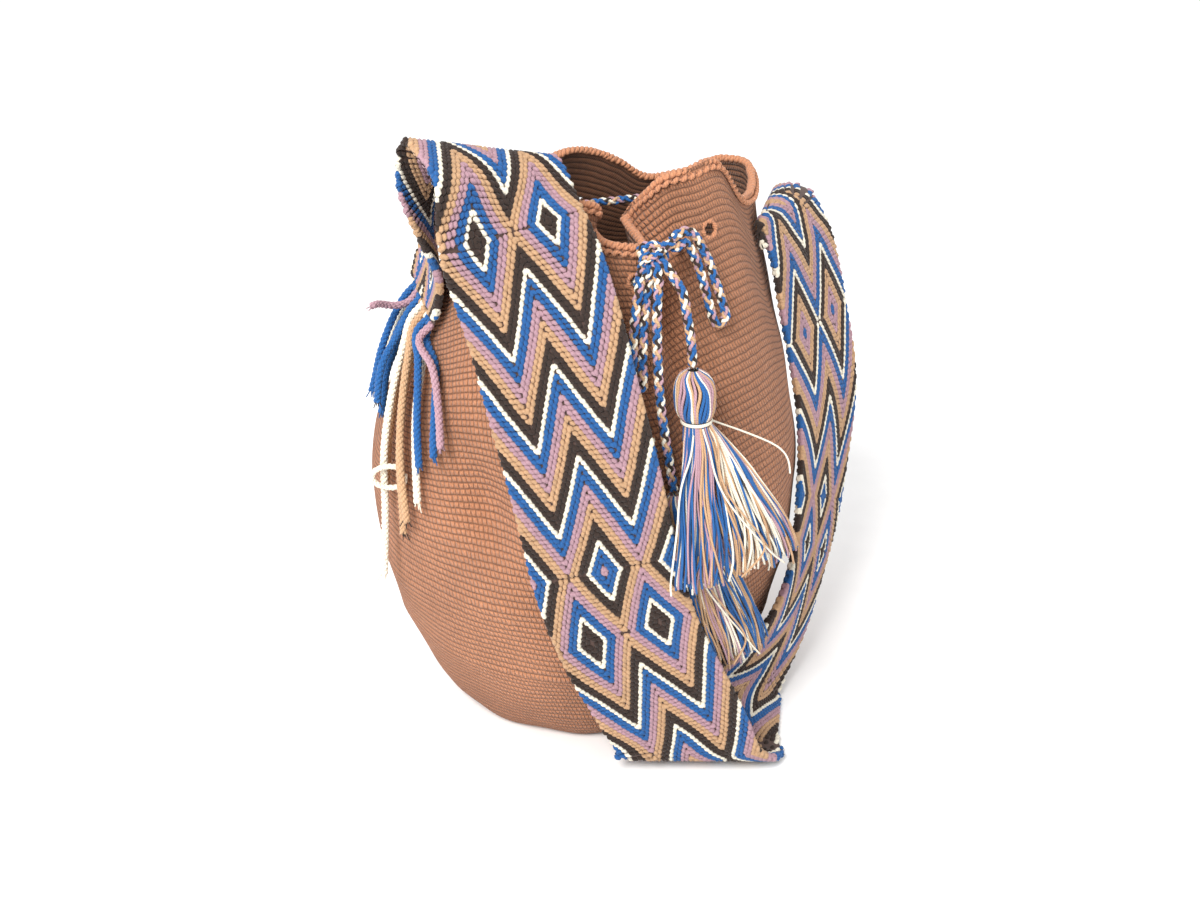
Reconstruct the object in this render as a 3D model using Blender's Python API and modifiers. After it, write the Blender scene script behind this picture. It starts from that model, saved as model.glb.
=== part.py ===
"""Crocheted Wayuu mochila bag with a woven shoulder strap, drawstring and tassels.

Metres, +Z up. The flat base stands on z = 0 with its centre at the origin, the
drawstring bow is at the front (-Y) and the strap is sewn to the left (-X) and
right (+X) of the mouth. Every piece is its own object in the collection
"wayuu_mochila_bag".
"""
import math

import bmesh
import bpy
import numpy as np
from mathutils import Matrix, Vector
from mathutils.bvhtree import BVHTree

# ---------------------------------------------------------------- main sizes
WALL = 0.003            # crocheted wall
RING_Z = 0.150          # below this height the body is round
STRAP_WIDTH = 0.080
STRAP_THICK = 0.0036
CORD_DIA = 0.0055       # braided drawstring
FRINGE_DIA = 0.0040

# body profile up to the belly: height, radius
PROFILE = [(0.0, 0.082), (0.004, 0.0885), (0.012, 0.0955), (0.03, 0.1055),
           (0.06, 0.1190), (0.10, 0.1290), (0.15, 0.1325)]

# gathered mouth: turn fraction round the rim from the front, then x, y, z
RIM = [(0.004, -0.001, -0.0985, 0.320), (0.024, 0.002, -0.064, 0.325),
       (0.050, 0.011, -0.076, 0.344), (0.100, 0.031, -0.081, 0.353),
       (0.145, 0.052, -0.073, 0.353), (0.180, 0.073, -0.055, 0.328),
       (0.215, 0.094, -0.027, 0.319), (0.250, 0.110, 0.002, 0.319),
       (0.290, 0.119, 0.030, 0.322), (0.335, 0.108, 0.047, 0.322),
       (0.400, 0.088, 0.056, 0.314), (0.460, 0.062, 0.058, 0.312),
       (0.520, 0.043, 0.056, 0.324), (0.580, 0.022, 0.054, 0.333),
       (0.630, 0.003, 0.048, 0.335), (0.665, -0.014, 0.042, 0.330),
       (0.700, -0.044, 0.038, 0.311), (0.730, -0.072, 0.023, 0.294),
       (0.755, -0.087, 0.000, 0.287), (0.785, -0.086, -0.032, 0.299),
       (0.820, -0.070, -0.056, 0.322), (0.850, -0.050, -0.066, 0.337),
       (0.880, -0.030, -0.071, 0.338), (0.910, -0.015, -0.068, 0.333),
       (0.935, -0.018, -0.055, 0.325), (0.963, -0.022, -0.082, 0.320),
       (0.984, -0.0150, -0.0980, 0.320)]

# strap centre line: x, y, z, heading of the width in degrees, its tilt
STRAP = [(-0.0915, -0.004, 0.266, 84, 4), (-0.0925, -0.005, 0.291, 82, 2),
         (-0.0930, -0.015, 0.321, 64, 0), (-0.0860, -0.039, 0.351, 24, -8),
         (-0.0810, -0.064, 0.368, 2, -12), (-0.0770, -0.085, 0.363, 20, -4),
         (-0.0760, -0.097, 0.341, 10, 8), (-0.0700, -0.109, 0.314, -12, 13),
         (-0.0640, -0.121, 0.284, -20, 14), (-0.0590, -0.130, 0.253, -20, 14),
         (-0.0520, -0.138, 0.217, -20, 13), (-0.0450, -0.142, 0.180, -18, 14),
         (-0.0370, -0.142, 0.141, -18, 14), (-0.0235, -0.142, 0.101, -18, 12),
         (-0.0060, -0.143, 0.063, -20, 9), (0.0080, -0.143, 0.0330, -20, 5),
         (0.0180, -0.140, 0.0110, -20, 0), (0.0300, -0.131, 0.0045, -14, -6),
         (0.0440, -0.1190, 0.0120, 2, -24), (0.0610, -0.1090, 0.0250, 24, -36),
         (0.0800, -0.1010, 0.0380, 38, -40), (0.1000, -0.0910, 0.0550, 44, -35),
         (0.1200, -0.0755, 0.0800, 46, -26),
         (0.1350, -0.0600, 0.1120, 43, -18), (0.1440, -0.0450, 0.1500, 40, -10),
         (0.1460, -0.0350, 0.1870, 37, -2), (0.1430, -0.0290, 0.2250, 37, 0),
         (0.1370, -0.0260, 0.2600, 38, 2), (0.1290, -0.0230, 0.2880, 41, 2),
         (0.1165, -0.0160, 0.3060, 47, 2), (0.1060, -0.0110, 0.3045, 56, 0),
         (0.1045, -0.0110, 0.2880, 56, 0)]

# fringe of the strap's left end: place across the end, layer, then way points
FRINGE = [
    (-0.034, 1, [(-0.1000, -0.050, 0.244), (-0.1040, -0.062, 0.226), (-0.1070, -0.072, 0.206)]),
    (-0.029, 0, [(-0.1040, -0.044, 0.244), (-0.1090, -0.055, 0.226), (-0.1130, -0.067, 0.198)]),
    (-0.024, 1, [(-0.1070, -0.038, 0.244), (-0.1130, -0.049, 0.226), (-0.1180, -0.061, 0.190)]),
    (-0.019, 0, [(-0.1090, -0.032, 0.244), (-0.1160, -0.043, 0.222), (-0.1210, -0.054, 0.190), (-0.1230, -0.059, 0.168)]),
    (-0.014, 1, [(-0.1100, -0.026, 0.244), (-0.1180, -0.036, 0.222), (-0.1240, -0.046, 0.190), (-0.1270, -0.054, 0.154)]),
    (-0.009, 0, [(-0.1110, -0.020, 0.244), (-0.1200, -0.029, 0.222), (-0.1270, -0.038, 0.190), (-0.1300, -0.047, 0.142)]),
    (-0.004, 1, [(-0.1120, -0.014, 0.246), (-0.1230, -0.022, 0.222), (-0.1310, -0.029, 0.190), (-0.1350, -0.034, 0.150), (-0.1370, -0.036, 0.112)]),
    (0.001, 0, [(-0.1120, -0.008, 0.244), (-0.1220, -0.015, 0.220), (-0.1290, -0.021, 0.192), (-0.1320, -0.026, 0.165)]),
    (0.006, 1, [(-0.1130, -0.002, 0.250), (-0.1240, -0.008, 0.236), (-0.1300, -0.013, 0.212)]),
    (0.011, 0, [(-0.1120, 0.004, 0.246), (-0.1220, 0.000, 0.228), (-0.1280, -0.004, 0.204)]),
    (0.016, 1, [(-0.1140, 0.010, 0.262), (-0.1260, 0.005, 0.266), (-0.1380, -0.001, 0.258)]),
    (0.021, 0, [(-0.1110, 0.015, 0.246), (-0.1210, 0.013, 0.224), (-0.1270, 0.009, 0.196)]),
    (0.026, 1, [(-0.1110, 0.021, 0.250), (-0.1210, 0.021, 0.228), (-0.1270, 0.019, 0.206)]),
    (0.031, 0, [(-0.1080, 0.027, 0.246), (-0.1170, 0.029, 0.226), (-0.1230, 0.030, 0.204)]),
]

# braided drawstring
KNOT = (-0.002, -0.1115, 0.3175)
LOOP_RIGHT = [(0.0092, -0.1130, 0.3230), (0.0200, -0.1070, 0.3235), (0.0285, -0.1045, 0.3120), (0.0362, -0.1042, 0.2919), (0.0419, -0.1057, 0.2722)]
LOOP_LEFT = [(-0.006, -0.113, 0.305), (-0.011, -0.119, 0.288), (-0.014, -0.124, 0.268), (-0.0150, -0.127, 0.248)]
TAIL_FRONT = [(0.006, -0.1195, 0.3085), (0.010, -0.1250, 0.300), (0.0125, -0.1275, 0.285), (0.0145, -0.1285, 0.272), (0.0155, -0.1290, 0.2590)]
TAIL_REAR = [(-0.001, -0.1195, 0.3040), (-0.0035, -0.1240, 0.294), (-0.0045, -0.1275, 0.270), (-0.0035, -0.1310, 0.240), (0.0000, -0.1340, 0.212), (0.0030, -0.1360, 0.1900)]
RUN = [(-0.0080, -0.0740, 0.3010), (-0.0085, -0.0480, 0.3000), (-0.024, -0.0420, 0.299), (-0.046, -0.0440, 0.297), (-0.067, -0.0220, 0.285), (-0.067, 0.0000, 0.276),
       (-0.056, 0.0200, 0.281), (-0.030, 0.0350, 0.293), (0.005, 0.0420, 0.300), (0.040, 0.0470, 0.300),
       (0.075, 0.0450, 0.300), (0.096, 0.0300, 0.303), (0.0970, 0.0030, 0.304), (0.080, -0.0250, 0.308), (0.058, -0.0460, 0.314),
       (0.034, -0.0520, 0.316)]

# tassels: x, y, z, half width, half depth of each section from the top
TASSEL_FRONT = [(0.0158, -0.1290, 0.2565, 0.0030, 0.0030), (0.0160, -0.1292, 0.2535, 0.0085, 0.0080),
                (0.0162, -0.1300, 0.2480, 0.0118, 0.0108), (0.0164, -0.1310, 0.2400, 0.0125, 0.0112),
                (0.0166, -0.1320, 0.2330, 0.0112, 0.0100), (0.0168, -0.1330, 0.2285, 0.0080, 0.0070),
                (0.0172, -0.1345, 0.2235, 0.0110, 0.0085), (0.0190, -0.1380, 0.2100, 0.0180, 0.0090),
                (0.0250, -0.1440, 0.1850, 0.0260, 0.0085), (0.0310, -0.1490, 0.1600, 0.0340, 0.0080),
                (0.0345, -0.1510, 0.1440, 0.0370, 0.0075)]
TASSEL_REAR = [(0.0030, -0.1362, 0.1878, 0.0030, 0.0030), (0.0036, -0.1362, 0.1850, 0.0070, 0.0042),
               (0.0052, -0.1364, 0.1790, 0.0100, 0.0046), (0.0075, -0.1366, 0.1720, 0.0105, 0.0046),
               (0.0100, -0.1368, 0.1660, 0.0075, 0.0042), (0.0135, -0.1371, 0.1580, 0.0125, 0.0048),
               (0.0220, -0.1382, 0.1350, 0.0200, 0.0056), (0.0300, -0.1384, 0.1100, 0.0240, 0.0060),
               (0.0370, -0.1370, 0.0900, 0.0250, 0.0058), (0.0420, -0.1350, 0.0720, 0.0250, 0.0056)]


# eyelets: turn fraction and height fraction of each
EYELETS = [(0.994, 0.930), (0.062, 0.895), (0.105, 0.90), (0.235, 0.90), (0.34, 0.90),
           (0.44, 0.90), (0.545, 0.90), (0.66, 0.90), (0.80, 0.90), (0.875, 0.90)]


# ------------------------------------------------------------------ helpers
def spline(points, t):
    """Hermite curve through rows of numbers, evaluated at the parameters t in 0..1 of its chord length."""
    p = np.asarray(points, float)
    d = np.r_[0.0, np.cumsum(np.linalg.norm(np.diff(p[:, :3], axis=0), axis=1))]
    m = np.gradient(p, d, axis=0)
    s = np.asarray(t) * d[-1]
    i = np.clip(np.searchsorted(d, s, side="right") - 1, 0, len(p) - 2)
    h = (d[i + 1] - d[i])[:, None]
    u = ((s - d[i]) / (d[i + 1] - d[i]))[:, None]
    return ((2 * u**3 - 3 * u * u + 1) * p[i] + (u**3 - 2 * u * u + u) * h * m[i]
            + (3 * u * u - 2 * u**3) * p[i + 1] + (u**3 - u * u) * h * m[i + 1])


def rim_curve(u):
    """Point of the rim at the turn fraction u (closed curve)."""
    r = np.asarray(RIM)
    k = np.r_[r[-3:, 0] - 1, r[:, 0], r[:3, 0] + 1]
    p = np.r_[r[-3:, 1:], r[:, 1:], r[:3, 1:]]
    m = np.gradient(p, k, axis=0)
    u = np.asarray(u, float) % 1.0
    i = np.searchsorted(k, u, side="right") - 1
    h = (k[i + 1] - k[i])[:, None]
    x = ((u - k[i]) / (k[i + 1] - k[i]))[:, None]
    return ((2 * x**3 - 3 * x * x + 1) * p[i] + (x**3 - 2 * x * x + x) * h * m[i]
            + (3 * x * x - 2 * x**3) * p[i + 1] + (x**3 - x * x) * h * m[i + 1])


def rim_smooth(u):
    """The rim without its pleats: a running mean over about an eighth of a turn."""
    return sum(rim_curve(np.asarray(u) + o) for o in np.linspace(-0.06, 0.06, 7)) / 7.0


def wall(u, v):
    """Outer face of the crocheted wall; u turns from the front towards +X, v runs 0..1 from the base edge to the rim."""
    u, v = np.broadcast_arrays(np.asarray(u, float), np.asarray(v, float))
    shape = u.shape
    u, v = u.ravel(), v.ravel()
    ang = 2 * math.pi * u - math.pi / 2
    split = 0.45
    prof = np.asarray(PROFILE)
    arc = np.r_[0.0, np.cumsum(np.hypot(*np.diff(prof, axis=0).T))]
    low = np.clip(v / split, 0, 1) * arc[-1]
    rad = np.interp(low, arc, prof[:, 1])
    height = np.interp(low, arc, prof[:, 0])
    out = np.stack([rad * np.cos(ang), rad * np.sin(ang), height], 1)
    t = np.clip((v - split) / (1 - split), 0, 1)[:, None]
    ring = np.stack([prof[-1, 1] * np.cos(ang), prof[-1, 1] * np.sin(ang), np.full_like(ang, RING_Z)], 1)
    smooth = rim_smooth(u)
    pleat = rim_curve(u) - smooth
    rise = smooth[:, 2:] - RING_Z
    m0 = np.concatenate([np.zeros((len(u), 2)), rise * 1.05], 1)
    inward = smooth - ring
    m1 = np.concatenate([inward[:, :2] * 0.9, rise * 0.9], 1)
    up = ((2 * t**3 - 3 * t * t + 1) * ring + (t**3 - 2 * t * t + t) * m0
          + (3 * t * t - 2 * t**3) * smooth + (t**3 - t * t) * m1)
    up = up + pleat * t**1.6
    out = np.where(v[:, None] > split, up, out)
    # soft hollow pressed in at the left front, and a slow waviness of the soft wall
    du = (u - 0.865 + 0.5) % 1.0 - 0.5
    hollow = 0.008 * np.exp(-(du / 0.035) ** 2 - ((v - 0.50) / 0.09) ** 2)
    wave = 0.0012 * np.sin(2 * math.pi * 3 * u + 1.3) * np.sin(math.pi * np.clip(v * 1.1, 0, 1))
    shift = wave - hollow
    out[:, 0] += shift * np.cos(ang)
    out[:, 1] += shift * np.sin(ang)
    return out.reshape(shape + (3,))


SKIN = []


def skin():
    """Search tree of the outer wall, for keeping pieces clear of it."""
    if not SKIN:
        grid = wall(np.arange(168)[None, :] / 168, np.linspace(0, 1, 60)[:, None])
        points = grid.reshape(-1, 3)
        SKIN.append(BVHTree.FromPolygons([tuple(p) for p in points], grid_faces(60, 168, True)))
    return SKIN[0]


def height_above(point):
    """Signed distance of a point outside the wall and the wall's outward direction there."""
    near, normal, _, away = skin().find_nearest(Vector(point))
    over = (Vector(point) - near).dot(normal)
    if abs(over) < 0.8 * away:
        over = away     # beside the rim's edge, where the wall has ended
    return over, np.array(normal)


def clear(point, gap):
    """The point, moved straight out until it is at least gap away from the wall."""
    point = np.array(point, float)
    for _ in range(4):
        over, out = height_above(point)
        if over < gap:
            point = point + out * (gap - over)
    return point


def soften(rows, passes):
    rows = np.array(rows, float)
    for _ in range(passes):
        rows[1:-1] = 0.25 * rows[:-2] + 0.5 * rows[1:-1] + 0.25 * rows[2:]
    return rows


def material(name, colour, rough):
    made = bpy.data.materials.new(name)
    made.use_nodes = True
    shader = made.node_tree.nodes["Principled BSDF"]
    shader.inputs["Base Color"].default_value = (*colour, 1.0)
    shader.inputs["Roughness"].default_value = rough
    made.diffuse_color = (*colour, 1.0)
    return made


def add_mesh(name, points, faces, collection, mat):
    mesh = bpy.data.meshes.new(name)
    mesh.from_pydata([tuple(p) for p in points], [], faces)
    mesh.update()
    obj = bpy.data.objects.new(name, mesh)
    collection.objects.link(obj)
    mesh.materials.append(mat)
    return obj


def grid_faces(rows, cols, closed):
    last = cols if closed else cols - 1
    return [(r * cols + c, r * cols + (c + 1) % cols, (r + 1) * cols + (c + 1) % cols, (r + 1) * cols + c)
            for r in range(rows - 1) for c in range(last)]


def loft(name, sections, collection, mat):
    """Closed solid through rings of equal point count."""
    rows, cols = len(sections), len(sections[0])
    points = np.concatenate(sections)
    faces = grid_faces(rows, cols, True)
    faces.append(tuple(range(cols - 1, -1, -1)))
    faces.append(tuple((rows - 1) * cols + c for c in range(cols)))
    obj = add_mesh(name, points, faces, collection, mat)
    bm = bmesh.new()
    bm.from_mesh(obj.data)
    bmesh.ops.recalc_face_normals(bm, faces=bm.faces)
    if bm.calc_volume(signed=True) < 0:
        bmesh.ops.reverse_faces(bm, faces=bm.faces)
    bm.to_mesh(obj.data)
    bm.free()
    return obj


def tube(name, points, diameter, collection, mat, count):
    """Round cord with flat ends along a smooth curve through the points."""
    path = spline(points, np.linspace(0, 1, count))
    curve = bpy.data.curves.new(name, "CURVE")
    curve.dimensions = "3D"
    curve.bevel_depth = diameter / 2
    curve.bevel_resolution = 2
    curve.use_fill_caps = True
    line = curve.splines.new("POLY")
    line.points.add(count - 1)
    for point, place in zip(line.points, path):
        point.co = (*place, 1.0)
    obj = bpy.data.objects.new(name, curve)
    collection.objects.link(obj)
    curve.materials.append(mat)
    return obj


def rulings(centre, width):
    """Direction of travel, and half the length of each ruling so that the strap keeps its width where the ruling is askew."""
    travel = np.gradient(centre, axis=0)
    travel /= np.linalg.norm(travel, axis=1)[:, None]
    lean = (width * travel).sum(1)
    kept = np.clip(lean, -0.62, 0.62)
    width = width - (lean - kept)[:, None] * travel
    width /= np.linalg.norm(width, axis=1)[:, None]
    return travel, width, STRAP_WIDTH / 2 / np.sqrt(1 - (width * travel).sum(1)**2)


def strap_frames(count):
    """Centre, direction of travel, width direction and face normal along the strap."""
    rows = np.asarray(STRAP, float)
    yaw, tilt = np.radians(rows[:, 3]), np.radians(rows[:, 4])
    width = np.stack([np.cos(tilt) * np.cos(yaw), np.cos(tilt) * np.sin(yaw), np.sin(tilt)], 1)
    path = spline(np.concatenate([rows[:, :3], width], 1), np.linspace(0, 1, count))
    centre, width = path[:, :3], path[:, 3:]
    for _ in range(14):
        # the strap leans on the wall and on the floor without entering either
        push = np.zeros_like(centre)
        _, turned, reach = rulings(centre, width)
        for k in range(count):
            need = 0.0
            for x in np.linspace(-1.0, 1.0, 9):
                here = centre[k] + turned[k] * x * reach[k]
                over, out = height_above(here)
                if -0.008 < over < STRAP_THICK and STRAP_THICK - over > need:
                    need = STRAP_THICK - over
                    push[k] = out * need
            low = centre[k, 2] - abs(turned[k, 2]) * reach[k]
            push[k, 2] += max(0.0, STRAP_THICK / 2 + 0.0008 - low)
        push = soften(push, 8)
        centre = centre + 1.15 * push
    travel, width, reach = rulings(centre, width)
    normal = np.cross(travel, width)
    normal /= np.linalg.norm(normal, axis=1)[:, None]
    low = centre[:, 2] - np.abs(width[:, 2]) * reach - np.abs(normal[:, 2]) * STRAP_THICK / 2 - 0.0006
    centre[:, 2] += np.maximum(0.0, -low)
    return centre, travel, width, normal, reach


def fringe_path(place, layer, way):
    """Way points of one fringe cord, from the cut edge of the strap's left end down over the wall."""
    centre, travel, width, normal, _ = strap_frames(120)
    root = centre[0] + width[0] * place - travel[0] * 0.0016
    lift = 0.0028 + 0.0046 * layer
    points = [root, root - travel[0] * 0.009 + normal[0] * 0.0045 * layer]
    return np.array(points + [clear(p, lift) + (0.0023 * layer) * np.array([-1.0, 0.0, 0.0]) for p in way])


def eyelet(u, v):
    """Centre and outward direction of an eyelet."""
    along = wall([u + 0.004], [v])[0] - wall([u - 0.004], [v])[0]
    upward = wall([u], [v + 0.01])[0] - wall([u], [v - 0.01])[0]
    out = np.cross(along, upward)
    return wall([u], [v])[0], out / np.linalg.norm(out)


# -------------------------------------------------------------------- pieces
def make_body(collection, mat):
    cols, rows = 84, 30
    u = np.arange(cols) / cols
    v = np.linspace(0, 1, rows)
    grid = wall(u[None, :], v[:, None])
    inner = [np.stack([grid[0, :, 0] * f, grid[0, :, 1] * f, np.zeros(cols)], 1) for f in (0.55,)]
    points = np.concatenate(inner + [grid.reshape(-1, 3)])
    faces = grid_faces(rows + 1, cols, True)
    faces.append(tuple(range(cols - 1, -1, -1)))
    body = add_mesh("bag_body", points, faces, collection, mat)
    shell = body.modifiers.new("wall", "SOLIDIFY")
    shell.thickness = WALL
    shell.offset = -1.0
    shell.use_even_offset = False
    shell.use_rim = True
    return body


def cut_eyelets(body, cutters):
    """Round eyelets below the rim; the drawstring leaves the bag through the front pair."""
    for number, (u, v) in enumerate(EYELETS):
        here, out = eyelet(u, v)
        out = Vector(out)
        bm = bmesh.new()
        bmesh.ops.create_cone(bm, cap_ends=True, segments=10, radius1=0.0034, radius2=0.0034, depth=0.014)
        bm.transform(out.to_track_quat("Z", "Y").to_matrix().to_4x4())
        bm.transform(Matrix.Translation(here))
        mesh = bpy.data.meshes.new(f"eyelet_cutter_{number}")
        bm.to_mesh(mesh)
        bm.free()
        cutter = bpy.data.objects.new(f"eyelet_cutter_{number}", mesh)
        cutter.hide_render = True
        cutter.display_type = "WIRE"
        cutters.objects.link(cutter)
        hole = body.modifiers.new(f"eyelet {number}", "BOOLEAN")
        hole.operation = "DIFFERENCE"
        hole.solver = "EXACT"
        hole.object = cutter


def make_strap(collection, mat):
    centre, travel, width, normal, reach = strap_frames(120)
    b = STRAP_THICK / 2
    corners = [(-1.0, 0.0), (-0.96, -b), (-0.33, -b), (0.33, -b), (0.96, -b), (1.0, 0.0),
               (0.96, b), (0.33, b), (-0.33, b), (-0.96, b)]
    rings = [np.array([c + w * x * r + n * y for x, y in corners])
             for c, w, n, r in zip(centre, width, normal, reach)]
    return loft("shoulder_strap", rings, collection, mat)


def along_wall(place):
    """Level direction along the wall and the level direction out from it, at a place beside the wall."""
    out = height_above(place)[1] * np.array([1.0, 1.0, 0.0])
    out /= np.linalg.norm(out)
    return np.array([-out[1], out[0], 0.0]), out


def make_tassel(name, rows, collection, mat, lift):
    ring = [(math.cos(2 * math.pi * k / 16), math.sin(2 * math.pi * k / 16)) for k in range(16)]
    rows = spline(rows, np.linspace(0, 1, 26))
    sections = []
    for row in rows:
        place = clear(row[:3], row[4] + 0.0016 + lift(row[2]))
        side, out = along_wall(place)
        sections.append(np.array([place + side * row[3] * c + out * row[4] * s for c, s in ring]))
    return loft(name, sections, collection, mat)


def front_lift(z):
    """Extra distance from the wall that the front tassel keeps where the rear cord and tassel lie under it."""
    return float(np.interp(z, [0.175, 0.195, 0.215, 0.245], [0.0165, 0.0140, 0.0085, 0.0020]))


def make_ring(name, row, thick, collection, mat, lift):
    """Binding thread wound round a tassel's neck."""
    x, y, z, w, d = row
    x, y, z = clear((x, y, z), d + 0.0016 + lift(z))
    side, out = along_wall((x, y, z))
    curve = bpy.data.curves.new(name, "CURVE")
    curve.dimensions = "3D"
    curve.bevel_depth = thick / 2
    curve.bevel_resolution = 2
    line = curve.splines.new("POLY")
    line.points.add(23)
    for k, point in enumerate(line.points):
        c, s = math.cos(2 * math.pi * k / 24), math.sin(2 * math.pi * k / 24)
        w2, d2 = w + thick / 2 + 0.0013, d + thick / 2 + 0.0013
        point.co = (*(np.array([x, y, z]) + side * w2 * c + out * d2 * s), 1.0)
    line.use_cyclic_u = True
    obj = bpy.data.objects.new(name, curve)
    collection.objects.link(obj)
    curve.materials.append(mat)
    return obj


def main():
    for obj in list(bpy.data.objects):
        bpy.data.objects.remove(obj, do_unlink=True)
    scene = bpy.context.scene
    parts = bpy.data.collections.new("wayuu_mochila_bag")
    cutters = bpy.data.collections.new("cutters")
    scene.collection.children.link(parts)
    scene.collection.children.link(cutters)

    caramel = material("crochet_cotton", (0.40, 0.20, 0.11), 0.9)
    woven = material("strap_cotton", (0.10, 0.22, 0.45), 0.85)
    cord = material("drawstring_cotton", (0.55, 0.50, 0.50), 0.85)
    thread = material("tassel_cotton", (0.20, 0.32, 0.60), 0.85)
    fringe = material("fringe_cotton", (0.60, 0.48, 0.36), 0.85)

    body = make_body(parts, caramel)
    cut_eyelets(body, cutters)
    make_strap(parts, woven)
    for number, (place, layer, way) in enumerate(FRINGE, 1):
        tube(f"fringe_cord_{number:02d}", fringe_path(place, layer, way), FRINGE_DIA, parts, fringe, 5 + 3 * len(way))

    first, second = eyelet(*EYELETS[0]), eyelet(*EYELETS[1])
    route = ([first[0] + first[1] * 0.0035, first[0] - first[1] * 0.004, first[0] - first[1] * 0.012] + RUN
             + [second[0] - second[1] * 0.012, second[0] - second[1] * 0.004, second[0] + second[1] * 0.004])
    tube("drawstring_run", route, CORD_DIA, parts, cord, 78)
    knot = bpy.data.meshes.new("drawstring_knot")
    bm = bmesh.new()
    bmesh.ops.create_uvsphere(bm, u_segments=16, v_segments=10, radius=1.0)
    bm.transform(Matrix.Translation(KNOT) @ Matrix.Diagonal((0.0088, 0.0072, 0.0080, 1.0)))
    bm.to_mesh(knot)
    bm.free()
    knot.materials.append(cord)
    parts.objects.link(bpy.data.objects.new("drawstring_knot", knot))
    for name, points, count in (("drawstring_loop_right", LOOP_RIGHT, 14), ("drawstring_loop_left", LOOP_LEFT, 12)):
        # both strands of the bow loop lie side by side, so the solid is one flat tube round them
        path = spline(points, np.linspace(0, 1, count))
        travel = np.gradient(path, axis=0)
        travel /= np.linalg.norm(travel, axis=1)[:, None]
        side = np.cross(travel, (0.2, -0.97, 0.15))
        side /= np.linalg.norm(side, axis=1)[:, None]
        face = np.cross(side, travel)
        ring = [(math.cos(2 * math.pi * k / 12), math.sin(2 * math.pi * k / 12)) for k in range(12)]
        loft(name, [np.array([p + s * c * CORD_DIA * 1.05 + f * d * CORD_DIA / 2 for c, d in ring])
                    for p, s, f in zip(path, side, face)], parts, cord)
    tube("drawstring_tail_front", TAIL_FRONT, CORD_DIA, parts, cord, 16)
    tube("drawstring_tail_rear", TAIL_REAR, CORD_DIA, parts, cord, 26)
    make_tassel("tassel_front", TASSEL_FRONT, parts, thread, front_lift)
    make_ring("tassel_front_binding", TASSEL_FRONT[5], 0.0016, parts, cord, front_lift)
    make_tassel("tassel_rear", TASSEL_REAR, parts, thread, lambda z: 0.0014)
    make_ring("tassel_rear_binding", TASSEL_REAR[4], 0.0016, parts, cord, lambda z: 0.0014)


main()
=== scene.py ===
"""Looks of a crocheted Wayuu mochila bag with a woven strap, drawstring and tassels, in metres, in the frame of the CAD."""
import math

import bpy
import numpy as np
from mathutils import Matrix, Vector
from mathutils.bvhtree import BVHTree


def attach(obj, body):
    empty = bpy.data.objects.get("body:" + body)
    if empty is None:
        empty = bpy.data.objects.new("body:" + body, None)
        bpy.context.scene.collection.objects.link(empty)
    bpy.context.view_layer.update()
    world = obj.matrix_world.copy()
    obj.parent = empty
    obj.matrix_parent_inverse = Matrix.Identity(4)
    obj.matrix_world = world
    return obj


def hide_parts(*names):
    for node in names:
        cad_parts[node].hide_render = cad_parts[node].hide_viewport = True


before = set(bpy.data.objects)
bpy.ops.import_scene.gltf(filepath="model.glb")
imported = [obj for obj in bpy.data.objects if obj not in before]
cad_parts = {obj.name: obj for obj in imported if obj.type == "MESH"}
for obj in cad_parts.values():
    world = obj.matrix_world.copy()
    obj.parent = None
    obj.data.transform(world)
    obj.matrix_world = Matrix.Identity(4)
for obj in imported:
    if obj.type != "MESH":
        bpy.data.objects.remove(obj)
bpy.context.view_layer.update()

# ---------------------------------------------------------------- main sizes
WALL = 0.003            # crocheted wall
RING_Z = 0.150          # below this height the body is round
STRAP_WIDTH = 0.080
STRAP_THICK = 0.0036
CORD_DIA = 0.0055       # braided drawstring
FRINGE_DIA = 0.0040

# body profile up to the belly: height, radius
PROFILE = [(0.0, 0.082), (0.004, 0.0885), (0.012, 0.0955), (0.03, 0.1055),
           (0.06, 0.1190), (0.10, 0.1290), (0.15, 0.1325)]

# gathered mouth: turn fraction round the rim from the front, then x, y, z
RIM = [(0.004, -0.001, -0.0985, 0.320), (0.024, 0.002, -0.064, 0.325),
       (0.050, 0.011, -0.076, 0.344), (0.100, 0.031, -0.081, 0.353),
       (0.145, 0.052, -0.073, 0.353), (0.180, 0.073, -0.055, 0.328),
       (0.215, 0.094, -0.027, 0.319), (0.250, 0.110, 0.002, 0.319),
       (0.290, 0.119, 0.030, 0.322), (0.335, 0.108, 0.047, 0.322),
       (0.400, 0.088, 0.056, 0.314), (0.460, 0.062, 0.058, 0.312),
       (0.520, 0.043, 0.056, 0.324), (0.580, 0.022, 0.054, 0.333),
       (0.630, 0.003, 0.048, 0.335), (0.665, -0.014, 0.042, 0.330),
       (0.700, -0.044, 0.038, 0.311), (0.730, -0.072, 0.023, 0.294),
       (0.755, -0.087, 0.000, 0.287), (0.785, -0.086, -0.032, 0.299),
       (0.820, -0.070, -0.056, 0.322), (0.850, -0.050, -0.066, 0.337),
       (0.880, -0.030, -0.071, 0.338), (0.910, -0.015, -0.068, 0.333),
       (0.935, -0.018, -0.055, 0.325), (0.963, -0.022, -0.082, 0.320),
       (0.984, -0.0150, -0.0980, 0.320)]

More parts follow.
